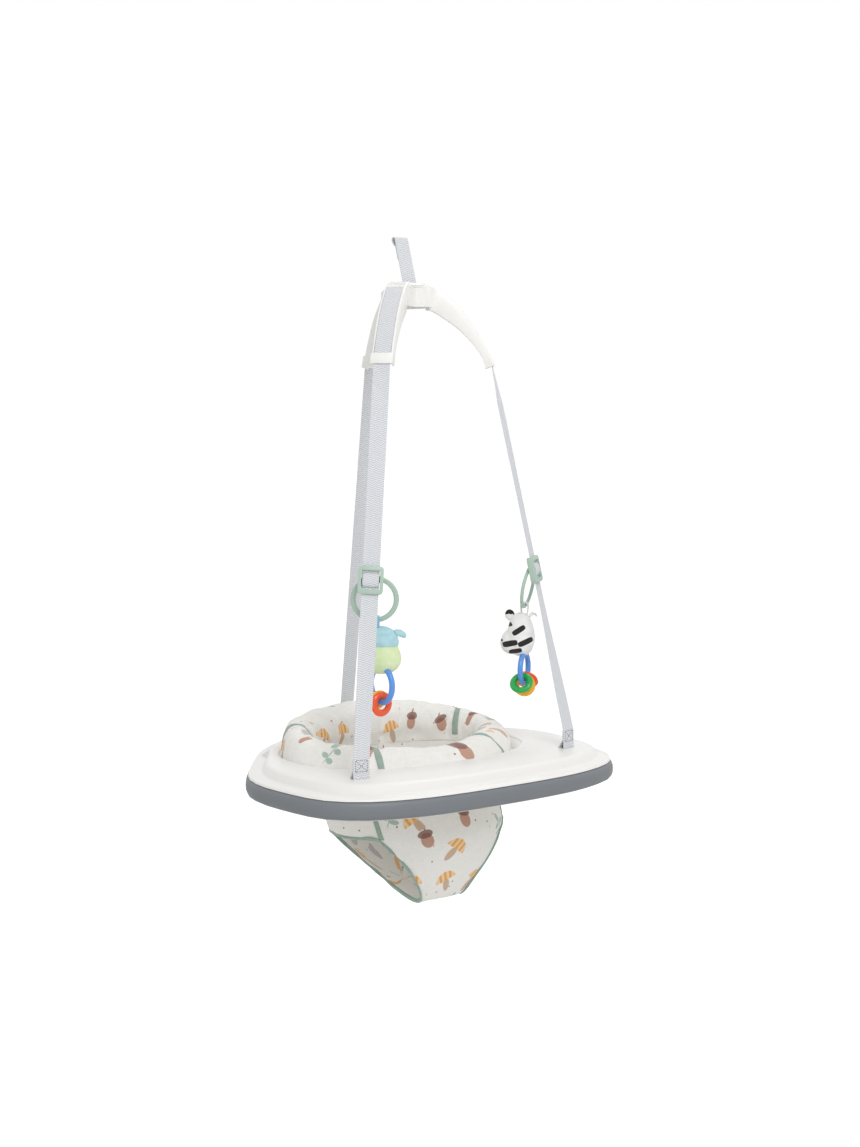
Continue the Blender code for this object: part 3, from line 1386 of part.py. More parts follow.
right_place = hang_point("right", 0)
right_frame = toy_frame("right", right_place)
right_pivot = add_empty("toy_right_pivot", right_place, hub_pivot)
head_at = right_frame @ Matrix.Translation((0, RIGHT_BODY_OUT, -RIGHT_BODY_DROP))
snout_at = right_frame @ Matrix.Translation((0, RIGHT_SNOUT_OUT, -RIGHT_SNOUT_DROP))
head_size = (RIGHT_BODY_HALF * 0.9, RIGHT_BODY_HALF, RIGHT_BODY_HALF_HEIGHT)
snout_size = (RIGHT_SNOUT_HALF * 0.95, RIGHT_SNOUT_HALF, RIGHT_SNOUT_HALF * 1.05)
head = egg("toy_right_body", *head_size, head_at, PLUSH_WHITE)
boolean(head, egg("snout", *snout_size, snout_at), "UNION")
finish_toy_piece(head, right_pivot)


def cut_by_head(made, label):
    boolean(made, egg(f"{label} head room", *head_size, head_at, grow=GAP), "DIFFERENCE")
    boolean(made, egg(f"{label} snout room", *snout_size, snout_at, grow=GAP), "DIFFERENCE")
    return finish_toy_piece(made, right_pivot)


top = RIGHT_BODY_HALF_HEIGHT * 0.78
RIGHT_CREST_SHARE = 0.6
RIGHT_EAR_ROUTE_SHARES = ((0, -0.6), (0.15, 0), (0.45, 0.4), (0.75, 0.62), (0.95, 0.7))
RIGHT_EAR_RADIUS_SHARES = (0.8, 1, 1, 0.8, 0.3)
RIGHT_TAIL_ROUTE_SHARES = ((-0.2, -0.5), (0.1, 0.2), (0.4, 0.5), (0.8, 0.45), (1.1, 0.1))
RIGHT_TAIL_RADIUS_SHARES = (0.9, 1, 1, 0.8, 0.3)
crest = RIGHT_BODY_HALF * RIGHT_CREST_SHARE
ear_at = head_at @ Matrix.Translation((0, crest, top))
ear_route = [(0, RIGHT_EAR_LENGTH * y, RIGHT_EAR_LENGTH * z) for y, z in RIGHT_EAR_ROUTE_SHARES]
ear_radii = [RIGHT_EAR_RADIUS * share for share in RIGHT_EAR_RADIUS_SHARES]
cut_by_head(horn("toy_right_ear", ear_route, ear_radii, ear_at, PLUSH_BLACK), "ear")
tail_at = head_at @ Matrix.Translation((0, -crest, top))
tail_route = [(0, -RIGHT_TAIL_LENGTH * y, RIGHT_TAIL_LENGTH * z) for y, z in RIGHT_TAIL_ROUTE_SHARES]
tail_radii = [RIGHT_TAIL_RADIUS * share for share in RIGHT_TAIL_RADIUS_SHARES]
cut_by_head(horn("toy_right_tuft", tail_route, tail_radii, tail_at, PLUSH_WHITE), "tuft")
cut_by_head(
    ribbon_loop("toy_right_loop", right_frame, RIGHT_BODY_DROP - RIGHT_BODY_HALF_HEIGHT * 0.7, PLUSH_WHITE),
    "loop"
)
hoop_turn = Matrix.Rotation(strap_angles["front_right"][0], 4, "Z")
hoop_place = right_frame @ Vector((0, 0, -RIGHT_HOOP_DROP))
hoop_at = Matrix.Translation(hoop_place) @ hoop_turn
hoop = torus("toy_right_hoop", RIGHT_HOOP_RADIUS, HOOP_TUBE, 1, hoop_at, BLUE, rounds=32, sides=8)
cut_by_head(hoop, "hoop")
hang_rings(
    "toy_right_ring", (("green", GREEN), ("yellow", YELLOW), ("orange", ORANGE)), hoop_place, hoop_turn,
    RIGHT_HOOP_RADIUS,
    (RIGHT_RING_FAN, 0, -RIGHT_RING_FAN), right_pivot,
)
print("hub pin", tuple(round(v, 6) for v in hub_place))
for side, place in (("left", left_place), ("right", right_place)):
    frame = sliders[side][1]
    print(
        "slider", side, tuple(round(v, 6) for v in frame.translation), "up",
        tuple(round(v, 6) for v in frame.col[2][:3]), "across",
        tuple(round(v, 6) for v in frame.col[0][:3]), "hang", tuple(round(v, 6) for v in place)
    )
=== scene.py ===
# %% [markdown]
# # A baby doorway jumper
#
# The real product hangs from a door frame: a webbing strap carries a moulded hanger, three
# straps carry a play tray, and a padded cloth seat hangs in the tray's opening. The shapes
# come from a imported CAD model. This lesson adds what makes them look real: woven webbing,
# moulded plastic, padded and printed cloth, plush toys, soft light and the right camera.
#
# The first cell loads the model as a fixed frame and keeps its box, which places the floor.

# %% Load the frame
import json
import math

import bmesh
import bpy
import numpy as np
from mathutils import Matrix, Vector, noise
from mathutils.bvhtree import BVHTree
from mathutils.kdtree import KDTree

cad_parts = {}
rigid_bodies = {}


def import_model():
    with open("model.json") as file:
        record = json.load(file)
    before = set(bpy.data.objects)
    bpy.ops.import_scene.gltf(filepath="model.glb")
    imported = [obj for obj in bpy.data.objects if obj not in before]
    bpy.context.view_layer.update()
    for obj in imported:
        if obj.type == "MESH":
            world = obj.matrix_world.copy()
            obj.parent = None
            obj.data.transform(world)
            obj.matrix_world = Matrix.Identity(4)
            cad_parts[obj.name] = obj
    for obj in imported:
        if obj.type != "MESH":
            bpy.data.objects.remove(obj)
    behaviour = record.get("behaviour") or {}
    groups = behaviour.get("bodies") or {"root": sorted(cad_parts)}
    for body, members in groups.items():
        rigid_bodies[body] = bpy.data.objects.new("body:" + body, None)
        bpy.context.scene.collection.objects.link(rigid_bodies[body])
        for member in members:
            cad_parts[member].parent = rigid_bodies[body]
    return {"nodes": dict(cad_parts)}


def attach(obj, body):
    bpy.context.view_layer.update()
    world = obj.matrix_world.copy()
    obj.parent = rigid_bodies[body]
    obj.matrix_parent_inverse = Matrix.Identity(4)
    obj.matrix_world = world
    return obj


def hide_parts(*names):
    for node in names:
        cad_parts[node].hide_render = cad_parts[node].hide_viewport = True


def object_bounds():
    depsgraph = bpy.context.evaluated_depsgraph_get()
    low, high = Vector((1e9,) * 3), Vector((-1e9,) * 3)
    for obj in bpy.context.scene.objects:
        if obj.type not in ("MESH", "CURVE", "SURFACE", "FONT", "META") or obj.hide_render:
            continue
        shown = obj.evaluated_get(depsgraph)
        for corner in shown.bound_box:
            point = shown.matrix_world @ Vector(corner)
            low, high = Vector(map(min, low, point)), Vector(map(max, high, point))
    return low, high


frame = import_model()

for old in list(bpy.data.objects):
    if old.name in ("Cube", "Light", "Camera"):
        bpy.data.objects.remove(old)
cad_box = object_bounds()
scene = bpy.context.scene
print("CAD box", [tuple(round(v, 3) for v in corner) for corner in cad_box])

# %% [markdown]
# ## Colours and nodes
#
# A colour picked from a photograph is sRGB, but shaders work in linear light, so one
# function turns a hex value into linear numbers. Materials here are built from nodes. One
# small function adds a node, sets its options and joins its sockets, which keeps each
# material short enough to read. Two more end a recipe: one tints a shader, one embosses it.

# %% Colour and node helpers
MM = 0.001


def linear(hex_colour):
    """An sRGB hex colour as linear RGBA."""
    channels = [int(hex_colour[i : i + 2], 16) / 255 for i in (1, 3, 5)]
    return (*[c / 12.92 if c <= 0.04045 else ((c + 0.055) / 1.055) ** 2.4 for c in channels], 1)


def clamp(value):
    """The value, kept between 0 and 1."""
    return min(max(value, 0), 1)


def add(tree, kind, inputs=(), **options):
    """Adds a node. inputs maps a socket to a value, a node's first output, or an output."""
    made = tree.nodes.new(kind)
    for option, value in options.items():
        setattr(made, option, value)
    for socket, value in dict(inputs).items():
        if isinstance(value, bpy.types.Node):
            value = value.outputs[0]
        if isinstance(value, bpy.types.NodeSocket):
            tree.links.new(value, made.inputs[socket])
        else:
            made.inputs[socket].default_value = value
    return made


def finish(name, colour, roughness, **sockets):
    """A material with its Principled shader's constant sockets set: (material, tree, shader)."""
    material = bpy.data.materials.new(name)
    material.use_nodes = True
    tree = material.node_tree
    shader = tree.nodes["Principled BSDF"]
    shader.inputs["Base Color"].default_value = linear(colour)
    shader.inputs["Roughness"].default_value = roughness
    for socket, value in sockets.items():
        shader.inputs[socket.replace("_", " ")].default_value = value
    return material, tree, shader


def tint(tree, shader, share, low, high):
    """Colours a shader from one colour to another by a share from 0 to 1."""
    mix = add(tree, "ShaderNodeMix", {0: share, 6: low, 7: high}, data_type="RGBA")
    tree.links.new(mix.outputs[2], shader.inputs["Base Color"])
    return mix.outputs[2]


def emboss(tree, shader, height, depth, **sockets):
    """Gives a shader a bump of this depth."""
    bump = add(tree, "ShaderNodeBump", {"Height": height, "Distance": depth, **sockets})
    tree.links.new(bump.outputs[0], shader.inputs["Normal"])


# %% [markdown]
# ## Camera
#
# The camera stands where the photographer stood: in front and to the left of the jumper, a
# little above the tray, looking five degrees down. Its place and focal length were solved
# from the straps, the tray's rim and the known width of the webbing. The small shift puts
# the picture's centre where the photograph has it.

# %% Camera
PHOTO_WIDE, PHOTO_HIGH = 860, 1147
FOCAL_PIXELS = 1700
CENTRE_X, CENTRE_Y = 404, 570.2
SENSOR = 36
CAMERA_PLACE = (-1.6151, -2.1937, -0.2851)
DOWN_DEGREES, TURN_DEGREES = 5.003, -36.5

lens = bpy.data.cameras.new("camera")
lens.sensor_fit = "AUTO"
lens.sensor_width = SENSOR
lens.lens = FOCAL_PIXELS / PHOTO_HIGH * SENSOR
lens.shift_x = (PHOTO_WIDE / 2 - CENTRE_X) / PHOTO_HIGH
lens.shift_y = (CENTRE_Y - PHOTO_HIGH / 2) / PHOTO_HIGH
camera = bpy.data.objects.new("camera", lens)
scene.collection.objects.link(camera)
camera.location = CAMERA_PLACE
camera.rotation_euler = (math.radians(90 - DOWN_DEGREES), 0, math.radians(TURN_DEGREES))
scene.camera = camera
print("lens", round(lens.lens, 1), "mm, shift", round(lens.shift_x, 4), round(lens.shift_y, 4))

# %% [markdown]
# ## Light and floor
#
# A catalogue picture has soft light from all round, a stronger soft box on one side to shape
# the form, and a white background. The world gives the even light and one large area lamp
# gives the shape. The floor lies well below the seat, because the jumper hangs. It is pale
# and keeps the soft shadow, and only what the camera sees of it is lifted to white.

# %% Light and floor
WHITE = linear("#FFFFFF")
EVEN_STRENGTH = 0.66
LAMP_SIZE = 1.2
KEY_PLACE, KEY_AIM, KEY_POWER = (-0.9, -2.6, 1.5), (0, 0, -0.6), 36
TOP_PLACE, TOP_AIM, TOP_POWER = (1.2, 0.6, 1.6), (0, 0, -0.7), 10
FLOOR_DROP = 0.30
FLOOR_HALF = 30
FLOOR_LIFT = 0.48

scene.view_settings.view_transform = "Standard"
world = bpy.data.worlds.new("studio")
scene.world = world
world.use_nodes = True
sky = world.node_tree
sky.nodes.clear()
path = add(sky, "ShaderNodeLightPath")
seen = path.outputs["Is Camera Ray"]
for ray in ("Is Glossy Ray", "Is Transmission Ray"):
    seen = add(sky, "ShaderNodeMath", {0: seen, 1: path.outputs[ray]}, operation="MAXIMUM")
even = add(sky, "ShaderNodeBackground", {"Color": WHITE, "Strength": EVEN_STRENGTH})
white = add(sky, "ShaderNodeBackground", {"Color": WHITE, "Strength": 1.0})
either = add(sky, "ShaderNodeMixShader", {0: seen, 1: even, 2: white})
add(sky, "ShaderNodeOutputWorld", {"Surface": either})


def soft_box(name, place, aim, power):
    """A square lamp that looks at a point."""
    lamp = bpy.data.lights.new(name, "AREA")
    lamp.shape = "SQUARE"
    lamp.size = LAMP_SIZE
    lamp.energy = power
    made = bpy.data.objects.new(name, lamp)
    scene.collection.objects.link(made)
    made.location = place
    made.rotation_euler = (Vector(aim) - Vector(place)).to_track_quat("-Z", "Y").to_euler()


def new_piece(name, verts, faces):
    """A new object with a mesh of these points and faces."""
    mesh = bpy.data.meshes.new(name)
    mesh.from_pydata(verts, [], faces)
    made = bpy.data.objects.new(name, mesh)
    scene.collection.objects.link(made)
    return made


soft_box("key_light", KEY_PLACE, KEY_AIM, KEY_POWER)
soft_box("top_light", TOP_PLACE, TOP_AIM, TOP_POWER)
corners = [(x * FLOOR_HALF, y * FLOOR_HALF, 0) for x, y in ((-1, -1), (1, -1), (1, 1), (-1, 1))]
floor = new_piece("floor", corners, [(0, 1, 2, 3)])
floor.location.z = cad_box[0].z - FLOOR_DROP
pale, tree, shader = finish("painted_floor", "#F2F2F0", 0.9)
glow = add(tree, "ShaderNodeEmission", {"Color": WHITE})
ray = add(tree, "ShaderNodeLightPath")
lift = add(tree, "ShaderNodeMath", {0: ray.outputs["Is Camera Ray"], 1: FLOOR_LIFT}, operation="MULTIPLY")
tree.links.new(lift.outputs[0], glow.inputs["Strength"])
both = add(tree, "ShaderNodeAddShader", {0: shader.outputs[0], 1: glow.outputs[0]})
tree.links.new(both.outputs[0], tree.nodes["Material Output"].inputs["Surface"])
floor.data.materials.append(pale)
print("floor at", round(floor.location.z, 3))

# %% [markdown]
# ## Moulded plastics
#
# The hanger, tray and seat ring are injection-moulded ABS with a fine spark-eroded texture:
# a satin surface whose highlights are broad and slightly broken. The sliders are
# polypropylene, which is a little softer and waxier, and the bumper is a soft
# thermoplastic rubber with almost no highlight. The toys' rings are glossy ABS. The same
# recipe makes them all: a fine grain for the mould's texture, a slow wave for the sink that
# thick mouldings show, and a faint change of roughness from handling.

# %% Plastics
GRAIN = 1.1 * MM  # real spark texture is about 0.1 mm: drawn coarser so that it shows
SINK = 45 * MM
WELD = 0.02 * MM


def moulded(name, colour, roughness, grain_depth, slow_depth, **sockets):
    """Moulded plastic: fine mould grain, slow sink waves, and roughness that varies a little."""
    material, tree, shader = finish(name, colour, roughness, **sockets)
    place = add(tree, "ShaderNodeTexCoord").outputs["Object"]
    grain = add(tree, "ShaderNodeTexNoise", {"Vector": place, "Scale": 1 / GRAIN, "Detail": 2.0})
    slow = add(tree, "ShaderNodeTexNoise", {"Vector": place, "Scale": 1 / SINK, "Detail": 1.0})
    sink = add(tree, "ShaderNodeBump", {"Height": slow, "Distance": slow_depth, "Strength": 0.5})
    emboss(tree, shader, grain, grain_depth, Strength=0.5, Normal=sink)
    rub = add(
        tree, "ShaderNodeMapRange",
        {0: slow, 1: 0.3, 2: 0.7, 3: roughness * 0.9, 4: min(roughness * 1.12, 1)},
    )
    tree.links.new(rub.outputs[0], shader.inputs["Roughness"])
    pointed = add(tree, "ShaderNodeNewGeometry").outputs["Pointiness"]
    edge = add(tree, "ShaderNodeMapRange", {0: pointed, 1: 0.49, 2: 0.56, 3: 0.0, 4: 0.35})
    lighter = tuple(min(1, c * 1.12 + 0.01) for c in linear(colour)[:3]) + (1,)
    tint(tree, shader, edge, linear(colour), lighter)
    return material


white_abs = moulded("white_moulded_abs", "#F1F0ED", 0.36, 0.05 * MM, 0.30 * MM, IOR=1.54)
sage_polypropylene = moulded("sage_moulded_polypropylene", "#AFC6B8", 0.42, 0.06 * MM, 0.15 * MM, IOR=1.49)
grey_bumper = moulded("grey_soft_rubber", "#787D82", 0.5, 0.08 * MM, 0.25 * MM, IOR=1.5)
blue_abs = moulded("blue_gloss_abs", "#5B96E6", 0.24, 0.02 * MM, 0.08 * MM, IOR=1.54)
orange_abs = moulded("orange_gloss_abs", "#F4572A", 0.2, 0.02 * MM, 0.08 * MM, IOR=1.54)
yellow_abs = moulded("yellow_gloss_abs", "#F8B62E", 0.2, 0.02 * MM, 0.08 * MM, IOR=1.54)
green_abs = moulded("green_gloss_abs", "#18A84A", 0.2, 0.02 * MM, 0.08 * MM, IOR=1.54)
steel, tree, shader = finish("drawn_steel_pin", "#B9BBBE", 0.35, Metallic=1.0)
drawn = add(tree, "ShaderNodeTexNoise", {"Scale": 1 / (0.6 * MM), "Detail": 1.0})
emboss(tree, shader, drawn, 0.02 * MM)

# %% [markdown]
# The CAD nodes of the rigid pieces stay, and only get their material and smooth shading.
# Facets are hidden by shading across shallow angles and keeping the steep ones sharp. The
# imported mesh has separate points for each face, so a Weld joins them first, and a narrow
# Bevel rounds the moulded edges, because an edge with no radius catches no light.

# %% Rigid pieces keep their CAD mesh
RIGID = {
    "seat_ring": (white_abs, 40, 0, "white_plastic"),
    "bumper": (grey_bumper, 60, 0, "bumper_grey"),
    "slider_left": (sage_polypropylene, 35, 0.5 * MM, "sage_plastic"),
    "slider_right": (sage_polypropylene, 35, 0.5 * MM, "sage_plastic"),
    "toy_left_hoop": (blue_abs, 60, 0, "blue_plastic"),
    "toy_right_hoop": (blue_abs, 60, 0, "blue_plastic"),
    "toy_left_ring_orange": (orange_abs, 60, 0, "orange_plastic"),
    "toy_right_ring_orange": (orange_abs, 60, 0, "orange_plastic"),
    "toy_left_ring_yellow": (yellow_abs, 60, 0, "yellow_plastic"),
    "toy_right_ring_yellow": (yellow_abs, 60, 0, "yellow_plastic"),
    "toy_right_ring_green": (green_abs, 60, 0, "green_plastic"),
    "hub_pin": (steel, 40, 0, "steel"),
    "strap_anchor_front_left": (steel, 40, 0, "steel"),
    "strap_anchor_front_right": (steel, 40, 0, "steel"),
    "strap_anchor_rear": (steel, 40, 0, "steel"),
}


def smooth_by_angle(degrees):
    """A node group that shades a mesh smooth, but for edges steeper than an angle."""
    group = bpy.data.node_groups.new(f"smooth_{degrees}", "GeometryNodeTree")
    group.interface.new_socket("Geometry", in_out="INPUT", socket_type="NodeSocketGeometry")
    group.interface.new_socket("Geometry", in_out="OUTPUT", socket_type="NodeSocketGeometry")
    inside = add(group, "NodeGroupInput")
    angle = add(group, "GeometryNodeInputMeshEdgeAngle")
    steep = add(
        group, "FunctionNodeCompare", {0: angle.outputs["Unsigned Angle"], 1: math.radians(degrees)},
        operation="GREATER_THAN"
    )
    faces = add(
        group, "GeometryNodeSetShadeSmooth", {"Geometry": inside, "Shade Smooth": True}, domain="FACE"
    )
    edges = add(
        group, "GeometryNodeSetShadeSmooth", {"Geometry": faces, "Selection": steep, "Shade Smooth": False},
        domain="EDGE"
    )
    add(group, "NodeGroupOutput", {0: edges})
    return group


smooth_groups = {}


def shade_by_angle(piece, degrees):
    """Shades a piece smooth, but for edges steeper than an angle."""
    if degrees not in smooth_groups:
        smooth_groups[degrees] = smooth_by_angle(degrees)
    piece.modifiers.new("shade", "NODES").node_group = smooth_groups[degrees]


def round_edges(piece, width, degrees=45):
    """Rounds the edges that are steeper than an angle."""
    edge = piece.modifiers.new("edge", "BEVEL")
    edge.width = width
    edge.segments = 2
    edge.limit_method = "ANGLE"
    edge.angle_limit = math.radians(degrees)


def dress(piece, material):
    """Gives a piece one material."""
    piece.data.materials.clear()
    piece.data.materials.append(material)


for node, (material, degrees, edge, slot) in RIGID.items():
    piece = frame["nodes"][node]
    for name in ("custom_normal", "sharp_face", "sharp_edge"):
        if name in piece.data.attributes:
            piece.data.attributes.remove(piece.data.attributes[name])
    dress(piece, material)
    piece.modifiers.new("weld", "WELD").merge_threshold = WELD
    if edge:
        round_edges(piece, edge)
    shade_by_angle(piece, degrees)
print(len(RIGID), "rigid pieces dressed")

# %% [markdown]
# ## Working copies of the soft pieces
#
# Cloth, webbing and plush are rebuilt from copies of the CAD solids, so that each stays in
# its own space. A copy is welded and its triangles are joined into quads, because
# subdivision rounds quads evenly. A second helper swaps an object's mesh for what its
# modifiers make, and a third lets a finished piece ride on its body in place of its node.

# %% Soft piece helpers
def copy_of(node, name, quads=True):
    """A new object with a CAD node's form."""
    shape = bmesh.new()
    shape.from_mesh(frame["nodes"][node].data)
    bmesh.ops.remove_doubles(shape, verts=shape.verts, dist=WELD)
    if quads:
        flat, square = math.radians(40), math.radians(60)
        bmesh.ops.join_triangles(
            shape, faces=shape.faces, angle_face_threshold=flat, angle_shape_threshold=square
        )
    mesh = bpy.data.meshes.new(name)
    shape.to_mesh(mesh)
    shape.free()
    made = bpy.data.objects.new(name, mesh)
    scene.collection.objects.link(made)
    mesh.shade_smooth()
    return made


def settle(piece):
    """Applies an object's modifiers."""
    mesh = bpy.data.meshes.new_from_object(piece.evaluated_get(bpy.context.evaluated_depsgraph_get()))
    piece.modifiers.clear()
    piece.data = mesh
    mesh.shade_smooth()
    return piece


def subdivide(piece, levels):
    """Rounds a piece by splitting each face; it then has its own mesh."""
    smooth = piece.modifiers.new("subdivide", "SUBSURF")
    smooth.levels = levels
    smooth.render_levels = levels
    return settle(piece)


def remesh(piece, voxel, rounds):
    """Rebuilds a closed form from even voxels and relaxes it."""
    even = piece.modifiers.new("voxels", "REMESH")
    even.mode = "VOXEL"
    even.voxel_size = voxel
    piece.modifiers.new("relax", "SMOOTH").iterations = rounds
    return settle(piece)


def thicken(piece, thickness):
    """Gives a sheet its thickness, half to each side."""
    thick = piece.modifiers.new("cloth", "SOLIDIFY")
    thick.thickness = thickness
    thick.offset = 0
    return settle(piece)


def face_out(piece):
    """Turns the faces of a closed piece outwards."""
    shape = bmesh.new()
    shape.from_mesh(piece.data)
    bmesh.ops.recalc_face_normals(shape, faces=shape.faces)
    shape.to_mesh(piece.data)
    shape.free()


def grid_faces(rows, columns, round_rows=False, round_columns=False):
    """The faces of a grid of points kept row by row, joined round where its ends meet."""
    faces = []
    for r in range(rows if round_rows else rows - 1):
        for c in range(columns if round_columns else columns - 1):
            here, below, after = r * columns, (r + 1) % rows * columns, (c + 1) % columns
            faces.append((here + c, here + after, below + after, below + c))
    return faces


def stands_for(piece, body, slot, *nodes):
    """The piece rides on a body in place of these CAD nodes."""
    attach(piece, body)
    if nodes:
        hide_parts(*nodes)
    return piece


def surface_of(piece):
    """A tree for casting rays onto a piece."""
    return BVHTree.FromObject(piece, bpy.context.evaluated_depsgraph_get())


# %% [markdown]
# ## The hanger
#
# Between its legs the real hanger's wall is a hollow curve, which a moulding tool makes so
# that the legs run into each other with no corner. The CAD form has a flat web there. A copy
# is cut into narrow faces across each web, and their points are drawn in along a parabola.

# %% Moulded hanger
# Each web's two ends seen from above and the depth of its hollow, in millimetres.
WEBS = (
    ((-24.8, -53.5), (24.8, -53.5), 13),
    ((37.8, -23.4), (14.5, 17.8), 7),
    ((-14.5, 17.8), (-37.8, -23.4), 7),
)
WEB_CUTS = 10
WEB_REACH = 3 * MM
WEB_LOW = -0.115
HANGER_MIDDLE = Vector((0, -0.016))
MOULDED_EDGE = 0.5 * MM
MOULDED_ANGLE = 33

hanger = copy_of("hanger_frame", "moulded_hanger", quads=False)
shape = bmesh.new()
shape.from_mesh(hanger.data)
for start, end, depth in WEBS:
    start, end = Vector(start) * MM, Vector(end) * MM
    along = (end - start).normalized()
    inward = Vector((-along.y, along.x))
    if inward.dot(HANGER_MIDDLE - start) < 0:
        inward = -inward

    def on_web(vertex, room):
        away = vertex.co.xy - start
        if abs(away.dot(inward)) >= WEB_REACH or vertex.co.z <= WEB_LOW:
            return False
        return -room < away.dot(along) < (end - start).length + room

    for k in range(1, WEB_CUTS):
        spot = start.lerp(end, k / WEB_CUTS)
        cut = [f for f in shape.faces if all(on_web(v, 1 * MM) for v in f.verts)]
        near = list({e for f in cut for e in f.edges}) + list({v for f in cut for v in f.verts}) + cut
        bmesh.ops.bisect_plane(shape, geom=near, plane_co=(*spot, 0), plane_no=(*along, 0))
    moved = 0
    for vertex in shape.verts:
        if on_web(vertex, 0):
            share = 2 * (vertex.co.xy - start).dot(along) / (end - start).length - 1
            vertex.co.xy += inward * depth * MM * (1 - share * share)
            moved += 1
    print("web of", moved, "points drawn in", depth, "mm")
shape.to_mesh(hanger.data)
shape.free()
dress(hanger, white_abs)
round_edges(hanger, MOULDED_EDGE)
shade_by_angle(hanger, MOULDED_ANGLE)
stands_for(hanger, "frame", "white_plastic", "hanger_frame")

# %% [markdown]
# ## The tray's shell
#
# The tray is one moulded shell: a flat ledge beside the bumper, a steep wall, a platform and
# a dish for the seat. Moulded corners are round, and these wide radii are what the light
# shows first. The shell is remade from a copy of the CAD form: its points are sorted by how
# far in from the rim they lie, the wall's foot is drawn in so that the wall stands steeply,
# the dish's lip is rolled over, and then those edges get real radii.

# %% Moulded tray
LEDGE_HEIGHT = -0.8222
PLATFORM_HEIGHT = -0.808
FOOT_INSET, WALL_INSET, TOP_INSET = 13.4 * MM, 29 * MM, 33 * MM
NEW_FOOT, NEW_FOOT_UNDER, NEW_WALL = 25 * MM, 27 * MM, 31 * MM
FOOT_RISE, UNDER_DROP, WALL_DROP = 0.4 * MM, 2.4 * MM, 2.2 * MM
TOP_SHIFT = 2 * MM
NEAR, WALL_NEAR = 2.4 * MM, 1.6 * MM
RIDGE_HALF, RIDGE_CENTRE, RIDGE_POWER = Vector((0.205, 0.1405)), Vector((0, -0.0055)), 2.5
LIP_ROLL, LIP_CORNER, LIP_UNDER_ROLL = 10 * MM, 4 * MM, 5 * MM
LIP_DROP, LIP_UNDER_DROP = 0.6 * MM, 2.4 * MM
REAR_ANCHOR, ANCHOR_ROOM, ANCHOR_EASE = Vector((0, 0.149)), 30 * MM, 50 * MM
SHELL_RADIUS = 2.2 * MM
RIM_STEP_DEGREES = 3


def rim_line():
    """The tray's outline: the bumper's outermost points, in order round the tray."""
    around = {}
    for vertex in frame["nodes"]["bumper"].data.vertices:
        spot = vertex.co.xy
        key = round(math.degrees(math.atan2(spot.y, spot.x)) / RIM_STEP_DEGREES)
        if key not in around or spot.length > around[key].length:
            around[key] = spot.copy()
    return [around[key] for key in sorted(around)]


def nearest_on(line, spot):
    """The nearest point of a closed line."""
    best = None
    for a, b in zip(line, line[1:] + line[:1]):
        near = a.lerp(b, clamp((spot - a).dot(b - a) / (b - a).length_squared))
        if best is None or (near - spot).length < (best - spot).length:
            best = near
    return best


def ridge_value(spot):
    """1 on the lip of the dish, less inside it."""
    away = spot - RIDGE_CENTRE
    return abs(away.x / RIDGE_HALF.x) ** RIDGE_POWER + abs(away.y / RIDGE_HALF.y) ** RIDGE_POWER


rim = rim_line()
tray = copy_of("tray_shell", "moulded_tray")
shape = bmesh.new()
shape.from_mesh(tray.data)
foot, lip = set(), set()
for vertex in shape.verts:
    spot, height = vertex.co.xy, vertex.co.z
    near = nearest_on(rim, spot)
    inset = (spot - near).length
    inward = (spot - near).normalized()
    goal = None
    if abs(inset - FOOT_INSET) < NEAR and height > LEDGE_HEIGHT - 3 * MM:
        upper = height > LEDGE_HEIGHT
        goal = NEW_FOOT if upper else NEW_FOOT_UNDER
        vertex.co.z = LEDGE_HEIGHT + (FOOT_RISE if upper else -UNDER_DROP)
        if upper:
            foot.add(vertex)
    elif abs(inset - WALL_INSET) < WALL_NEAR and height > PLATFORM_HEIGHT - 2 * MM:
        goal = NEW_WALL
        vertex.co.z = PLATFORM_HEIGHT - WALL_DROP
        lip.add(vertex)
    elif abs(inset - TOP_INSET) < NEAR and height > PLATFORM_HEIGHT - 4 * MM:
        goal = inset + TOP_SHIFT
        if height > PLATFORM_HEIGHT - 1 * MM:
            lip.add(vertex)
    if goal is not None:
        vertex.co.xy = near + inward * goal
    elif height > PLATFORM_HEIGHT - 2.2 * MM and 0.86 < ridge_value(spot) < 1.1:
        away = (spot - RIDGE_CENTRE).normalized()
        corner = abs(away.x * away.y) * 2
        clear = clamp(((spot - REAR_ANCHOR).length - ANCHOR_ROOM) / ANCHOR_EASE)
        high = height > PLATFORM_HEIGHT - 0.5 * MM
        roll = LIP_ROLL + LIP_CORNER * corner if high else LIP_UNDER_ROLL
        vertex.co.xy = spot + away * clear * roll
        vertex.co.z = height - clear * (LIP_DROP if high else LIP_UNDER_DROP)
rings = [e for e in shape.edges if any(e.verts[0] in ring and e.verts[1] in ring for ring in (foot, lip))]
bmesh.ops.bevel(
    shape, geom=rings, offset=SHELL_RADIUS, segments=3, profile=0.5, affect="EDGES", clamp_overlap=True
)
shape.to_mesh(tray.data)
shape.free()
tray.data.shade_smooth()
dress(tray, white_abs)
shade_by_angle(tray, MOULDED_ANGLE)
stands_for(tray, "frame", "white_plastic", "tray_shell")
print("tray has", len(tray.data.polygons), "faces;", len(rings), "edges rounded")

# %% [markdown]
# ## Webbing
#
# The straps are 26 mm polyester webbing, woven in a fine herringbone. Light catches each
# raised rib, so a flat grey strap looks wrong at once. The weave has to follow the strap
# round its bends, which object coordinates can't do. So the strap's own mesh is walked from
# end to end: points are paired across the width, each pair gets its distance along the
# strap, and both go into a UV map in metres.

# %% Webbing material
RIB = 3.4 * MM  # real ribs are about 1.5 mm apart: drawn coarser so that they show
COLUMN = 5.2 * MM


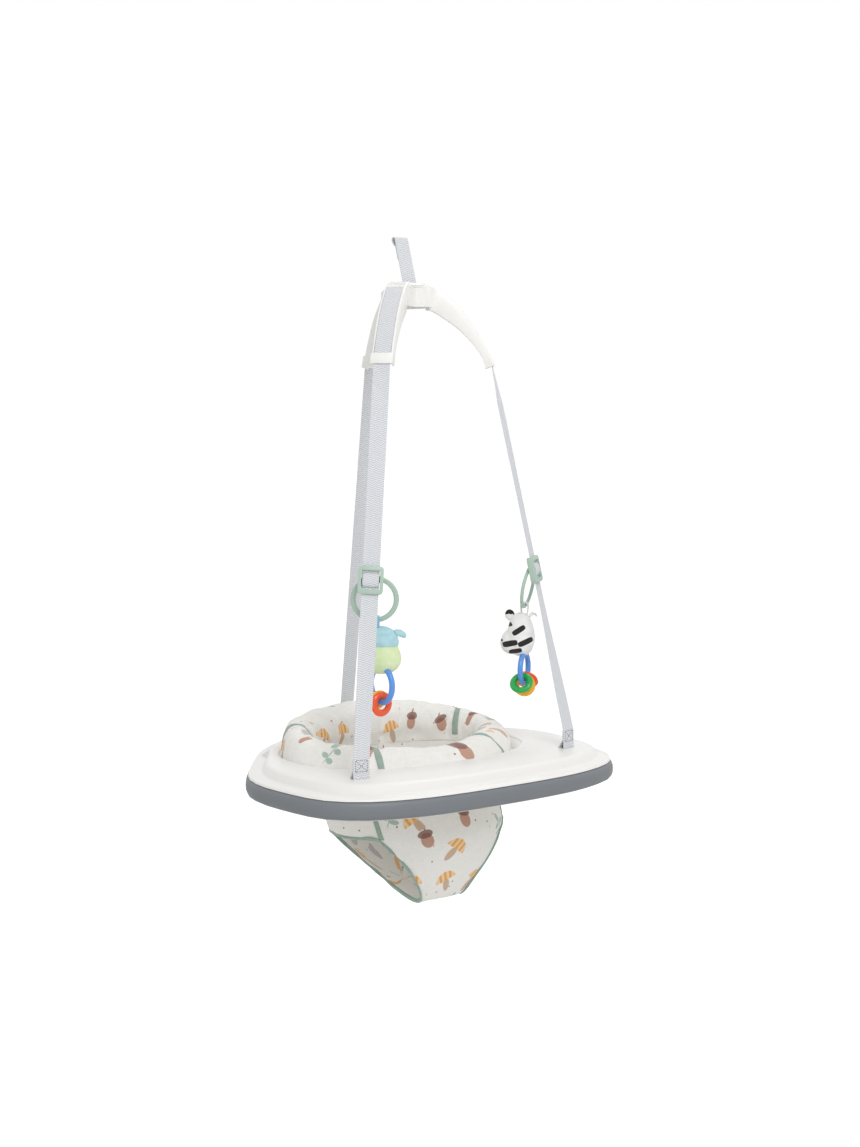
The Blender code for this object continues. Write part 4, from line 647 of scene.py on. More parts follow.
def woven(name, colour, shadow, rib, column, depth, roughness, **sockets):
    """Flat weave from the UV map 'thread': ribs along V with a herringbone along U."""
    material, tree, shader = finish(name, colour, roughness, **sockets)
    place = add(tree, "ShaderNodeSeparateXYZ", {0: add(tree, "ShaderNodeUVMap", uv_map="thread")})
    across = add(tree, "ShaderNodeMath", {0: place.outputs[0], 1: 1 / column}, operation="MULTIPLY")
    zigzag = add(tree, "ShaderNodeMath", {0: across, 1: 1.0}, operation="PINGPONG")
    along = add(tree, "ShaderNodeMath", {0: place.outputs[1], 1: 1 / rib}, operation="MULTIPLY")
    slant = add(tree, "ShaderNodeMath", {0: zigzag, 1: 0.8, 2: along}, operation="MULTIPLY_ADD")
    turn = add(tree, "ShaderNodeMath", {0: slant, 1: 2 * math.pi}, operation="MULTIPLY")
    wave = add(tree, "ShaderNodeMath", {0: turn}, operation="SINE")
    rib_height = add(tree, "ShaderNodeMapRange", {0: wave, 1: -1.0, 2: 1.0, 3: 0.0, 4: 1.0})
    slub = add(tree, "ShaderNodeTexNoise", {"Scale": 1 / (5 * MM), "Detail": 2.0})
    uneven = add(tree, "ShaderNodeMath", {0: slub, 1: 0.5, 2: rib_height}, operation="MULTIPLY_ADD")
    tone = add(tree, "ShaderNodeMapRange", {0: uneven, 1: 0.2, 2: 1.1, 3: 0.0, 4: 1.0})
    tint(tree, shader, tone, linear(shadow), linear(colour))
    emboss(tree, shader, uneven, depth, Strength=0.7)
    return material


webbing = woven(
    "grey_polyester_webbing", "#EBEDF1", "#C6C9CF", RIB, COLUMN, 0.6 * MM, 0.72,
    Sheen_Weight=0.15, Sheen_Roughness=0.5,
)
thread_grey, tree, shader = finish("grey_sewing_thread", "#8E9096", 0.6, Sheen_Weight=0.2)
twist = add(tree, "ShaderNodeTexWave", {"Scale": 1 / (1.2 * MM)}, bands_direction="DIAGONAL")
emboss(tree, shader, twist, 0.1 * MM)

# %% Walk along a strap
WEB_WIDTH = 26 * MM
SELVEDGE = 0.5 * MM


def thread_map(piece, width):
    """Gives a flat strip a UV map in metres: U across its width, V along its length."""
    mesh = piece.data
    places = [v.co.copy() for v in mesh.vertices]
    near = [[] for _ in places]
    for edge in mesh.edges:
        a, b = edge.vertices
        near[a].append(b)
        near[b].append(a)
    partner = [min(n, key=lambda j: abs((places[i] - places[j]).length - width)) for i, n in enumerate(near)]
    middle = [(places[i] + places[j]) / 2 for i, j in enumerate(partner)]

    def walk(start):
        reached = {start: 0.0, partner[start]: 0.0}
        side = {start: 1, partner[start]: -1}
        queue = [start, partner[start]]
        while queue:
            i = queue.pop(0)
            for j in near[i]:
                if j in reached:
                    continue
                far = reached[i] + (middle[j] - middle[i]).length
                across = (places[partner[i]] - places[i]) * side[i]
                same = across.dot(places[partner[j]] - places[j]) > 0
                for k, sign in ((j, 1 if same else -1), (partner[j], -1 if same else 1)):
                    reached[k] = far
                    side[k] = sign
                    queue.append(k)
        return reached, side

    first = walk(0)[0]
    reached, side = walk(max(first, key=first.get))
    layer = mesh.uv_layers.new(name="thread")
    for loop in mesh.loops:
        i = loop.vertex_index
        layer.data[loop.index].uv = (side.get(i, 1) * width / 2, reached.get(i, 0.0))
    return max(reached.values())


straps = {}
for node in ("top_strap", "strap_front_left", "strap_front_right", "strap_rear"):
    strip = copy_of(node, f"{node}_webbing", quads=False)
    long = thread_map(strip, WEB_WIDTH)
    round_edges(strip, SELVEDGE, 60)
    settle(strip)
    strip.data.shade_flat()
    dress(strip, webbing)
    straps[node] = stands_for(strip, "top_strap" if node == "top_strap" else "frame", "webbing", node)
    print(node, "is", round(long, 3), "m of webbing")

# %% [markdown]
# Each strap's end is folded back and sewn with a box and a cross. The stitches are small
# real shapes, laid on the strap by casting a ray at each one, so that they follow its tilt.

# %% Box stitches
STITCH = 3.0 * MM
THREAD = 0.6 * MM  # real thread is about 0.3 mm in radius with its twist: fuller, to show
# Along a stitch: the place, the half width and the height, the last two as shares of the thread.
STITCH_SHARES = ((0, 0.3, 0.0), (0.25, 1, 1.0), (0.75, 1, 1.0), (1, 0.3, 0.0))
STITCH_FACES = grid_faces(4, 4, round_columns=True) + [(3, 2, 1, 0), (12, 13, 14, 15)]


def stitch_rows(name, rows, radius=THREAD, pitch=STITCH):
    """A mesh of stitches along rows of (point, normal) on a surface."""
    verts, faces = [], []
    for row in rows:
        lengths = [0.0]
        for (a, _), (b, _) in zip(row[:-1], row[1:]):
            lengths.append(lengths[-1] + (b - a).length)
        count = max(1, int(lengths[-1] / pitch))
        for k in range(count):
            ends = []
            for end_share in ((k + 0.12) / count, (k + 0.88) / count):
                far = end_share * lengths[-1]
                i = max(j for j in range(len(row) - 1) if lengths[j] <= far)
                step = max(lengths[i + 1] - lengths[i], 1e-9)
                t = (far - lengths[i]) / step
                ends.append(
                    (row[i][0].lerp(row[i + 1][0], t), row[i][1].lerp(row[i + 1][1], t).normalized())
                )
            (start, up), (end, _) = ends
            side = (end - start).cross(up).normalized() * radius
            base = len(verts)
            for share, wide, high in STITCH_SHARES:
                centre = start.lerp(end, share)
                lift = up * radius * high
                verts += [
                    centre - side * wide, centre + lift, centre + side * wide, centre - up * radius * 0.4
                ]
            faces += [[base + i for i in face] for face in STITCH_FACES]
    made = new_piece(name, verts, faces)
    face_out(made)
    made.data.shade_smooth()
    return made


# Where each strap leaves the tray, and the turn of its slot in degrees.
ANCHORS = {
    "strap_front_left": ((-0.2026, -0.176, PLATFORM_HEIGHT), -11),
    "strap_front_right": ((0.2026, -0.176, PLATFORM_HEIGHT), 11),
    "strap_rear": ((0, 0.149, PLATFORM_HEIGHT), 0),
}
UP = Vector((0, 0, 1))
BOX_LOW, BOX_HIGH, BOX_HALF = 11 * MM, 28 * MM, 9.5 * MM
BOX_CORNERS = [(-BOX_HALF, BOX_LOW), (BOX_HALF, BOX_LOW), (BOX_HALF, BOX_HIGH), (-BOX_HALF, BOX_HIGH)]
BOX_LINES = [(BOX_CORNERS[a], BOX_CORNERS[b]) for a, b in ((0, 1), (1, 2), (2, 3), (3, 0), (0, 2), (1, 3))]
RAY_START = 40 * MM
for node, (place, turn) in ANCHORS.items():
    tree_of = surface_of(straps[node])
    across = Matrix.Rotation(math.radians(turn), 3, "Z") @ Vector((1, 0, 0))
    forward = across.cross(UP)
    rows = []
    for face in (1, -1):
        for (x0, z0), (x1, z1) in BOX_LINES:
            row = []
            for k in range(7):
                x, z = x0 + (x1 - x0) * k / 6, z0 + (z1 - z0) * k / 6
                start = Vector(place) + across * x + UP * z + forward * face * RAY_START
                hit, normal, _, _ = tree_of.ray_cast(start, -forward * face)
                if hit is not None:
                    row.append((hit, normal))
            if len(row) > 1:
                rows.append(row)
    sewn = stitch_rows(f"{node}_box_stitch", rows)
    sewn.data.materials.append(thread_grey)
    stands_for(sewn, "frame", "webbing")
    print(node, "box stitch,", len(rows), "rows")

# %% [markdown]
# Inside each slider the webbing goes over a hidden middle bar, which is what holds the
# slider where it is put. The hump of webbing in the slider's window rides on the slider.

# %% Webbing hump in each slider
HUMP_HALF_WIDE, HUMP_HALF_HIGH = 12.4 * MM, 11 * MM
HUMP_LOW, HUMP_RISE, HUMP_THICK = 0.6 * MM, 4.2 * MM, 1.2 * MM
HUMP_ROWS, HUMP_COLUMNS = 15, 9
SLIDER_UP = Vector((-0.160509, 0.135047, 0.977752))
SLIDER_ACROSS = Vector((0.821161, 0.567906, 0.056364))
SLIDER_PLACE = Vector((0.160637, -0.144635, -0.52))
for side, sign in (("left", -1), ("right", 1)):
    up = Vector((sign * SLIDER_UP.x, SLIDER_UP.y, SLIDER_UP.z))
    across = Vector((SLIDER_ACROSS.x, sign * SLIDER_ACROSS.y, sign * SLIDER_ACROSS.z))
    inwards = up.cross(across)
    middle = Vector((sign * SLIDER_PLACE.x, SLIDER_PLACE.y, SLIDER_PLACE.z))
    verts, uvs = [], []
    for r in range(HUMP_ROWS):
        z = HUMP_HALF_HIGH * (r / (HUMP_ROWS // 2) - 1)
        out = HUMP_LOW + HUMP_RISE * (1 - abs(z / HUMP_HALF_HIGH) ** 3)
        for c in range(HUMP_COLUMNS):
            x = HUMP_HALF_WIDE * (c / (HUMP_COLUMNS // 2) - 1)
            verts.append(middle + across * x + up * z - inwards * out)
            uvs.append((x, z + 0.5))
    hump = new_piece(f"webbing_hump_{side}", verts, grid_faces(HUMP_ROWS, HUMP_COLUMNS))
    layer = hump.data.uv_layers.new(name="thread")
    for loop in hump.data.loops:
        layer.data[loop.index].uv = uvs[loop.vertex_index]
    thicken(hump, HUMP_THICK)
    hump.data.materials.append(webbing)
    stands_for(hump, f"slider_{side}", "webbing")

# %% [markdown]
# ## Printed cloth
#
# The seat is off-white linen-look cotton with a scattered nursery print in orange, tan,
# brown, grey and sage. The print here is a design of its own: striped toadstools, acorns,
# clouds, leaves and dots. A Voronoi texture scatters it. Each cell's centre is the middle of
# one motif, the distance from it is the motif's own coordinate, and the cell's random colour
# picks the kind and the tilt. Every motif is drawn with ovals in real millimetres.

# %% Masks for a print
def oval_mask(tree, place, centre, radii, degrees=None):
    """1 inside an oval, 0 outside, with an edge as soft as a print's; centre and radii are in
    millimetres. Given an angle, the oval is tilted and has squarer ends."""
    spot = (centre[0] * MM, centre[1] * MM, 0)
    across = (1 / (radii[0] * MM), 1 / (radii[1] * MM), 0)
    moved = add(tree, "ShaderNodeVectorMath", {0: place, 1: spot}, operation="SUBTRACT")
    if degrees is not None:
        tilt = {"Vector": moved, "Angle": math.radians(-degrees)}
        moved = add(tree, "ShaderNodeVectorRotate", tilt, rotation_type="Z_AXIS")
    scaled = add(tree, "ShaderNodeVectorMath", {0: moved, 1: across}, operation="MULTIPLY")
    if degrees is not None:
        scaled = add(tree, "ShaderNodeVectorMath", {0: scaled, 1: scaled}, operation="MULTIPLY")
    far = add(tree, "ShaderNodeVectorMath", {0: scaled}, operation="LENGTH").outputs["Value"]
    return add(tree, "ShaderNodeMapRange", {0: far, 1: 0.93, 2: 1.03, 3: 1.0, 4: 0.0}).outputs[0]


def cells(tree, place, step, spread):
    """Scattered cells: the place measured from each one's centre, and its random colour."""
    scaled = add(tree, "ShaderNodeVectorMath", {0: place, "Scale": 1 / step}, operation="SCALE")
    found = add(
        tree, "ShaderNodeTexVoronoi", {"Vector": scaled, "Scale": 1.0, "Randomness": spread},
        voronoi_dimensions="2D"
    )
    away = add(tree, "ShaderNodeVectorMath", {0: scaled, 1: found.outputs["Position"]}, operation="SUBTRACT")
    away = add(tree, "ShaderNodeVectorMath", {0: away, "Scale": step}, operation="SCALE")
    chance = add(tree, "ShaderNodeSeparateColor", {0: found.outputs["Color"]})
    return away, chance


def combine(tree, first, second, operation):
    """Two masks joined: MULTIPLY keeps where both are, MAXIMUM where either is."""
    return add(tree, "ShaderNodeMath", {0: first, 1: second}, operation=operation, use_clamp=True).outputs[0]


def between(tree, value, low, high):
    """1 where a value lies in a range."""
    above = add(tree, "ShaderNodeMath", {0: value, 1: low}, operation="GREATER_THAN")
    below = add(tree, "ShaderNodeMath", {0: value, 1: high}, operation="LESS_THAN")
    return combine(tree, above, below, "MULTIPLY")


def ovals_mask(tree, place, ovals):
    """The mask of a shape drawn with ovals, each (centre, radii) or (centre, radii, degrees)."""
    whole = oval_mask(tree, place, *ovals[0])
    for oval in ovals[1:]:
        whole = combine(tree, whole, oval_mask(tree, place, *oval), "MAXIMUM")
    return whole


# %% [markdown]
# With these masks the print is a table: each row says which of a cell's random values show
# it, its ink, and the centre and half sizes of its ovals in millimetres. The toadstool's
# cap is half an oval with stripes, so it is drawn by itself after its stalk.

# %% Printed cloth material
MOTIF_STEP, MOTIF_SIZE = 62 * MM, 1.35
TOADSTOOL, ACORN, CLOUD, LEAF = (-1.0, 0.36), (0.36, 0.58), (0.58, 0.8), (0.8, 2.0)
MOTIFS = (
    (TOADSTOOL, "#C9A585", ((0, -7), (4.4, 10))),
    (ACORN, "#B98267", ((0, -2), (6.5, 9))),
    (ACORN, "#80544A", ((0, 5.5), (8, 4.6)), ((1, 11), (0.9, 3))),
    (CLOUD, "#C3BDC2", ((-7, -1), (7, 5)), ((0, 2), (7.5, 7)), ((8, -1), (6, 4.6)), ((0, -3), (12, 4))),
    (LEAF, "#9DB8A9", ((0, 9), (3.2, 6)), ((-6, 2), (5, 2.6)), ((6, 0), (5, 2.6)),
     ((-5, -8), (5, 2.6)), ((5, -10), (5, 2.6)), ((0, -4), (0.7, 14))),
)
CAP, CAP_INK = ((0, -1), (13, 14)), "#F3CB93"
STRIPE_STEP, STRIPE_INK = 6.4 * MM, "#E79B3C"
DOT_STEP = 24 * MM
DOTS = (
    ((0.0, 0.22), "#A06A58", ((0, 0), (1.5, 1.5))),
    ((0.22, 0.36), "#E0B48A", ((0, 0), (1.2, 1.9))),
)
SLUB_STEP, SLUB_LONG = 1.5 * MM, 14 * MM


def printed_cloth(name, ground):
    """Linen-look cotton with the scattered print, on the UV map 'print' in metres."""
    material, tree, shader = finish(name, ground, 0.88, Sheen_Weight=0.25, Sheen_Roughness=0.5)
    cloth = add(tree, "ShaderNodeUVMap", uv_map="print")
    away, chance = cells(tree, cloth, MOTIF_STEP, 0.72)
    tilt = add(tree, "ShaderNodeMapRange", {0: chance.outputs[2], 3: -0.7, 4: 0.7})
    sized = add(tree, "ShaderNodeVectorMath", {0: away, "Scale": 1 / MOTIF_SIZE}, operation="SCALE")
    local = add(tree, "ShaderNodeVectorRotate", {"Vector": sized, "Angle": tilt}, rotation_type="Z_AXIS")
    where = add(tree, "ShaderNodeSeparateXYZ", {0: local})
    kind = chance.outputs[0]

    def paint(under, mask, ink):
        faded = add(tree, "ShaderNodeMath", {0: mask, 1: 0.86}, operation="MULTIPLY")
        return add(tree, "ShaderNodeMix", {0: faded, 6: under, 7: linear(ink)}, data_type="RGBA").outputs[2]

    def stamp(under, place, value, motifs):
        for span, ink, *ovals in motifs:
            here = between(tree, value, *span)
            under = paint(under, combine(tree, ovals_mask(tree, place, ovals), here, "MULTIPLY"), ink)
        return under

    colour = stamp(linear(ground), local, kind, MOTIFS)
    cap_top = add(tree, "ShaderNodeMath", {0: where.outputs[1], 1: 0.0}, operation="GREATER_THAN")
    cap = combine(tree, oval_mask(tree, local, *CAP), cap_top, "MULTIPLY")
    cap = combine(tree, cap, between(tree, kind, *TOADSTOOL), "MULTIPLY")
    step = 2 * math.pi / STRIPE_STEP
    turn = add(tree, "ShaderNodeMath", {0: where.outputs[0], 1: step}, operation="MULTIPLY")
    wave = add(tree, "ShaderNodeMath", {0: turn}, operation="COSINE")
    stripe = add(tree, "ShaderNodeMath", {0: wave, 1: 0.15}, operation="GREATER_THAN")
    colour = paint(colour, cap, CAP_INK)
    colour = paint(colour, combine(tree, cap, stripe, "MULTIPLY"), STRIPE_INK)
    small, luck = cells(tree, cloth, DOT_STEP, 0.9)
    colour = stamp(colour, small, luck.outputs[0], DOTS)

    # Linen slub: threads are about 0.5 mm apart and are drawn at 1.5 mm so that they show.
    threads = []
    for across, along in ((SLUB_STEP, SLUB_LONG), (SLUB_LONG, SLUB_STEP)):
        fit = (1 / across, 1 / along, 0)
        run = add(tree, "ShaderNodeVectorMath", {0: cloth, 1: fit}, operation="MULTIPLY")
        fine = {"Vector": run, "Scale": 1.0, "Detail": 1.0}
        threads.append(add(tree, "ShaderNodeTexNoise", fine, noise_dimensions="2D"))
    slub = add(tree, "ShaderNodeMath", {0: threads[0], 1: threads[1]}, operation="ADD")
    shade = add(tree, "ShaderNodeMapRange", {0: slub, 1: 0.7, 2: 1.3, 3: 0.955, 4: 1.02})
    dyed = add(tree, "ShaderNodeMix", {0: 1.0, 6: colour, 7: shade}, data_type="RGBA", blend_type="MULTIPLY")
    tree.links.new(dyed.outputs[2], shader.inputs["Base Color"])
    emboss(tree, shader, slub, 0.25 * MM, Strength=0.5)
    return material


linen = printed_cloth("printed_linen_cotton", "#F1EFEA")


def print_map(piece, chart):
    """Gives a piece a UV map in metres; chart turns a point and its face's centre into (u, v)."""
    mesh = piece.data
    layer = mesh.uv_layers.new(name="print")
    for face in mesh.polygons:
        for i in face.loop_indices:
            place = mesh.vertices[mesh.loops[i].vertex_index].co
            layer.data[i].uv = chart(place, face.center)


# %% [markdown]
# ## Sage tapes and bindings
#
# Seams and leg openings are bound with folded cotton tape. It is a plain ribbed weave with a
# fold along its edge, and its thread follows world space, because the pieces are narrow.

# %% Tape material
TAPE_RIBS, TAPE_WEAR = 9 * MM, 12 * MM

sage_tape, tree, shader = finish("sage_cotton_tape", "#9CB3A5", 0.85, Sheen_Weight=0.2)
spot = add(tree, "ShaderNodeTexCoord").outputs["Object"]
weave = {"Vector": spot, "Scale": 1 / TAPE_RIBS, "Distortion": 1.5, "Detail": 1.0}
ribs = add(tree, "ShaderNodeTexWave", weave, bands_direction="Z")
wear = add(tree, "ShaderNodeTexNoise", {"Vector": spot, "Scale": 1 / TAPE_WEAR, "Detail": 3.0})
tone = add(tree, "ShaderNodeMapRange", {0: wear, 1: 0.3, 2: 0.7, 3: 0.0, 4: 1.0})
tint(tree, shader, tone, linear("#8CA297"), linear("#A2B6AB"))
emboss(tree, shader, ribs, 0.25 * MM, Strength=0.5)

# %% [markdown]
# ## The padded collar
#
# The collar is a foam-filled roll of cloth round the seat's opening: high and puffed behind,
# low in front. Its swell comes from a cloth simulation. The CAD form is rebuilt from even
# voxels, air pressure swells it for twenty frames, and each point may move only so far, and
# not at all at the foot, where the roll sits in the tray.

# %% Collar helpers
COLLAR_CENTRE = Vector((0, 0.007, 0))
COLLAR_HALF = Vector((0.184, 0.110, 0))
FOOT = -0.8255
FRONT_HIGH, BACK_HIGH = 0.026, 0.070
SWELL_FRAMES = 20
REACH_MOST = 0.5


def puff(piece, pressure, most, held):
    """Swells a closed form by air pressure; held(point) is 0 where it can't move and 1 where it can."""
    before = [v.co.copy() for v in piece.data.vertices]
    cloth = piece.modifiers.new("padding", "CLOTH")
    cloth.settings.quality = 4
    cloth.settings.mass = 0.25
    cloth.settings.tension_stiffness = 6
    cloth.settings.compression_stiffness = 6
    cloth.settings.use_pressure = True
    cloth.settings.uniform_pressure_force = pressure
    cloth.settings.effector_weights.gravity = 0
    for step in range(1, SWELL_FRAMES + 1):
        scene.frame_set(step)
    swollen = piece.evaluated_get(bpy.context.evaluated_depsgraph_get()).to_mesh()
    after = [v.co.copy() for v in swollen.vertices]
    piece.modifiers.clear()
    scene.frame_set(1)
    for vertex, old, new in zip(piece.data.vertices, before, after):
        move = new - old
        far = min(move.length, most) * held(old)
        vertex.co = old + move.normalized() * far


def angle_round(place):
    """A point's angle on the collar's oval."""
    return math.atan2((place.y - COLLAR_CENTRE.y) / COLLAR_HALF.y, place.x / COLLAR_HALF.x)


def rim_height(angle):
    """The collar's height in the CAD form: low in front and high behind."""
    return FOOT + FRONT_HIGH + (BACK_HIGH - FRONT_HIGH) * (1 + math.sin(angle)) / 2


def reach_of(heading, half, centre, power):
    """How far an oval reaches from the collar's middle along a heading."""
    low, high = 0.0, REACH_MOST
    while high - low > 0.1 * MM:
        far = (low + high) / 2
        spot = COLLAR_CENTRE.xy + heading * far - centre
        inside_oval = abs(spot.x / half.x) ** power + abs(spot.y / half.y) ** power < 1
        low, high = (far, high) if inside_oval else (low, far)
    return low


# %% [markdown]
# The foot is first spread to the dish's oval, and the rim is raised at the back and left
# and lowered at the right, as the photograph has it.

# %% Simulate the collar
DISH_HALF, DISH_CENTRE, DISH_POWER = Vector((0.203, 0.1345)), Vector((0, -0.0055)), 2.6
SPREAD_IN, SPREAD_HIGH, RIGHT_EASE = 30 * MM, 26 * MM, 0.5
BACK_GAIN, LEFT_GAIN, RIGHT_LOSS = 4 * MM, 7 * MM, 4 * MM
VOXEL, RELAX_ROUNDS = 4 * MM, 6
SWELL_PRESSURE, SWELL_MOST = 4.0, 6 * MM
HELD_LOW, HELD_EASE = 6 * MM, 16 * MM

collar = copy_of("seat_collar", "padded_collar")
for vertex in collar.data.vertices:
    place = vertex.co
    away = place.xy - COLLAR_CENTRE.xy
    heading = away.normalized()
    own = reach_of(heading, COLLAR_HALF.xy, COLLAR_CENTRE.xy, 2)
    full = reach_of(heading, DISH_HALF, DISH_CENTRE, DISH_POWER)
    outer = clamp((away.length - own + SPREAD_IN) / SPREAD_IN)
    outer = outer * outer * (3 - 2 * outer)
    grown = max(full - own, 0) * (1 - 0.85 * clamp((place.z - FOOT) / SPREAD_HIGH))
    grown *= 1 - RIGHT_EASE * max(heading.x, 0) ** 2
    vertex.co.xy = place.xy + heading * outer * grown
    turn = math.atan2(heading.y / COLLAR_HALF.y, heading.x / COLLAR_HALF.x)
    share = clamp((place.z - FOOT) / (rim_height(turn) - FOOT))
    back = clamp(0.35 + math.sin(turn))
    gain = LEFT_GAIN * back * (0.5 - 0.5 * math.cos(turn)) + BACK_GAIN * back
    gain -= RIGHT_LOSS * max(math.cos(turn), 0) ** 3
    vertex.co.z = place.z + gain * share
remesh(collar, VOXEL, RELAX_ROUNDS)
puff(collar, SWELL_PRESSURE, SWELL_MOST, lambda place: clamp((place.z - FOOT - HELD_LOW) / HELD_EASE))

# %% [markdown]
# Remeshing has lost the sewn seams, so they are drawn in now, each with its puckers. Folds
# of the inner side and a soft waviness follow, fading out towards the foot.

# %% Seams and folds
SEAM_ANGLES = [math.radians(a) for a in (25, 155, 236, 304)]
SEAM_DEPTH, SEAM_WIDE = 3.2 * MM, 7 * MM
PUCKER_DEPTH, PUCKER_STEP, PUCKER_WIDE = 0.35 * MM, 9 * MM, 13 * MM
# The inner folds: their angle in degrees and their depth in millimetres.
INNER_FOLDS = ((78, 5.0), (52, 2.6), (118, 2.2), (148, 3.2), (12, 2.4), (172, 2.0))
FOLD_WIDE, FOLD_SIDE = 6 * MM, 11 * MM
SOFT_FOLD, RIPPLE, STILL_FOOT = 2.6 * MM, 0.6 * MM, 14 * MM

collar.data.update()
normals = [v.normal.copy() for v in collar.data.vertices]
for vertex, normal in zip(collar.data.vertices, normals):
    place = vertex.co
    angle = angle_round(place)
    lift = clamp((place.z - FOOT) / STILL_FOOT)
    size = math.hypot(place.x, place.y - COLLAR_CENTRE.y)
    move = 0.0
    for seam in SEAM_ANGLES:
        gap = abs(math.remainder(angle - seam, 2 * math.pi)) * size
        move -= SEAM_DEPTH * math.exp(-((gap / SEAM_WIDE) ** 2))
        pucker = math.cos(place.z / PUCKER_STEP * 2 * math.pi)
        move += PUCKER_DEPTH * pucker * math.exp(-((gap / PUCKER_WIDE) ** 2))
    heading = Vector((place.x, place.y - COLLAR_CENTRE.y, 0)).normalized()
    inner = max(-normal.dot(heading), 0)
    for fold, depth in INNER_FOLDS:
        gap = abs(math.remainder(angle - math.radians(fold), 2 * math.pi)) * size
        move -= depth * MM * inner * math.exp(-((gap / FOLD_WIDE) ** 2))
        move += 0.4 * depth * MM * inner * math.exp(-(((gap - FOLD_SIDE) / FOLD_WIDE) ** 2))
    folds = noise.noise(Vector((math.cos(angle) * 9, math.sin(angle) * 9, place.z * 14)))
    ripple = noise.noise(place * 42)
    move += (SOFT_FOLD * folds + RIPPLE * ripple) * lift
    vertex.co = place + normal * move * max(lift, 0.15)
subdivide(collar, 1)

ROUND_METRES, INNER_SHIFT = 0.155, 0.317


def collar_chart(place, centre):
    """Print coordinates: round the collar, and up it, with another stretch of print inside."""
    round_centre = angle_round(centre)
    turn = math.remainder(angle_round(place) - round_centre, 2 * math.pi)
    inner = (centre.x / COLLAR_HALF.x) ** 2 + ((centre.y - COLLAR_CENTRE.y) / COLLAR_HALF.y) ** 2 < 0.93
    return ((round_centre + turn) * ROUND_METRES, place.z + (INNER_SHIFT if inner else 0.0))


print_map(collar, collar_chart)
dress(collar, linen)
stands_for(collar, "frame", "linen", "seat_collar")
print("collar has", len(collar.data.polygons), "faces")

# %% [markdown]
# Inside, the collar's cloth runs on down into the seat as a lining, which is why no gap shows
# between the roll and the pants. It is a plain tube of cloth along the roll's inner foot.

# %% Lining
LINING_HALF = Vector((0.158, 0.084))
LINING_TOP, LINING_DEPTH, LINING_THICK = -0.806, 62 * MM, 1.5 * MM
LINING_ROWS, LINING_ROUND = 9, 96
TAPER_SHARE, WAVE_SHARE = 0.07, 0.006
verts = []
for r in range(LINING_ROWS):
    share = r / (LINING_ROWS - 1)
    for c in range(LINING_ROUND):
        turn = c / LINING_ROUND * 2 * math.pi
        wave = noise.noise(Vector((math.cos(turn) * 5, math.sin(turn) * 5, share * 2)))
        wide = 1 - TAPER_SHARE * share + WAVE_SHARE * wave
        x, y = LINING_HALF.x * math.cos(turn) * wide, LINING_HALF.y * math.sin(turn) * wide
        verts.append((x, COLLAR_CENTRE.y + y, LINING_TOP - LINING_DEPTH * share))
faces = [(a, d, c, b) for a, b, c, d in grid_faces(LINING_ROWS, LINING_ROUND, round_columns=True)]
lining = new_piece("seat_lining", verts, faces)
thicken(lining, LINING_THICK)
print_map(lining, collar_chart)
lining.data.materials.append(linen)
stands_for(lining, "frame", "linen")
print("lining reaches", round(LINING_TOP - LINING_DEPTH, 3))

# %% [markdown]
# Four tapes cover the collar's seams, running up its outer side, over the rim and down
# inside. Each is a strip pressed onto the finished surface: rays are cast at the roll from
# all round its core, and the hits make the strip's grid.

# %% Collar tapes
TAPE_HALF, TAPE_THICK = 5.5 * MM, 0.9 * MM
TAPE_LIFT, TAPE_EDGE_DROP = 0.45 * MM, 0.25 * MM
TAPE_LOW, TAPE_HIGH, TAPE_STEPS = -25, 205, 34  # degrees round the roll's core, and the count
ACROSS_SHARES = (-1, -0.5, 0, 0.5, 1)
CORE_RANGE = 0.05
RAY_REACH = 80 * MM


def cloth_strip(name, rows, rounds):
    """A tape from rows of points across it, relaxed for some rounds."""
    made = new_piece(name, [p for row in rows for p in row], grid_faces(len(rows), len(ACROSS_SHARES)))
    made.modifiers.new("relax", "SMOOTH").iterations = rounds
    thicken(made, TAPE_THICK)
    made.data.materials.append(sage_tape)
    return made


def pressed_tape(name, tree_of, angle):
    """A strip over the collar at one angle, pressed on from all round the roll's core."""
    close = [
        v.co for v in collar.data.vertices
        if abs(math.remainder(angle_round(v.co) - angle, 2 * math.pi)) < CORE_RANGE
    ]
    core = sum(close, Vector()) / len(close)
    out = Vector((math.cos(angle) * COLLAR_HALF.y, math.sin(angle) * COLLAR_HALF.x, 0)).normalized()
    along = UP.cross(out)
    rows = []
    for k in range(TAPE_STEPS + 1):
        turn = math.radians(TAPE_LOW + (TAPE_HIGH - TAPE_LOW) * k / TAPE_STEPS)
        ray_out = out * math.cos(turn) + UP * math.sin(turn)
        row = []
        for share in ACROSS_SHARES:
            start = core + along * share * TAPE_HALF + ray_out * RAY_REACH
            hit, normal, _, _ = tree_of.ray_cast(start, -ray_out)
            if hit is None:
                break
            row.append(hit + normal * (TAPE_LIFT - TAPE_EDGE_DROP * abs(share)))
        if len(row) == len(ACROSS_SHARES):
            rows.append(row)
    return cloth_strip(name, rows, 3)


on_collar = surface_of(collar)
for label, angle in zip(("rear_right", "rear_left", "front_left", "front_right"), SEAM_ANGLES):
    stands_for(pressed_tape(f"collar_tape_{label}", on_collar, angle), "frame", "sage_binding")
print("collar tapes sewn on")

# %% [markdown]
# ## The seat pants
#
# The pants are one layer of lightly wadded cloth that hangs taut from the seat ring, with
# two leg openings. They have little swell, so subdivision rounds the CAD form and a slow
# noise, stretched from the crotch upwards, gives the pulls that hanging cloth has.

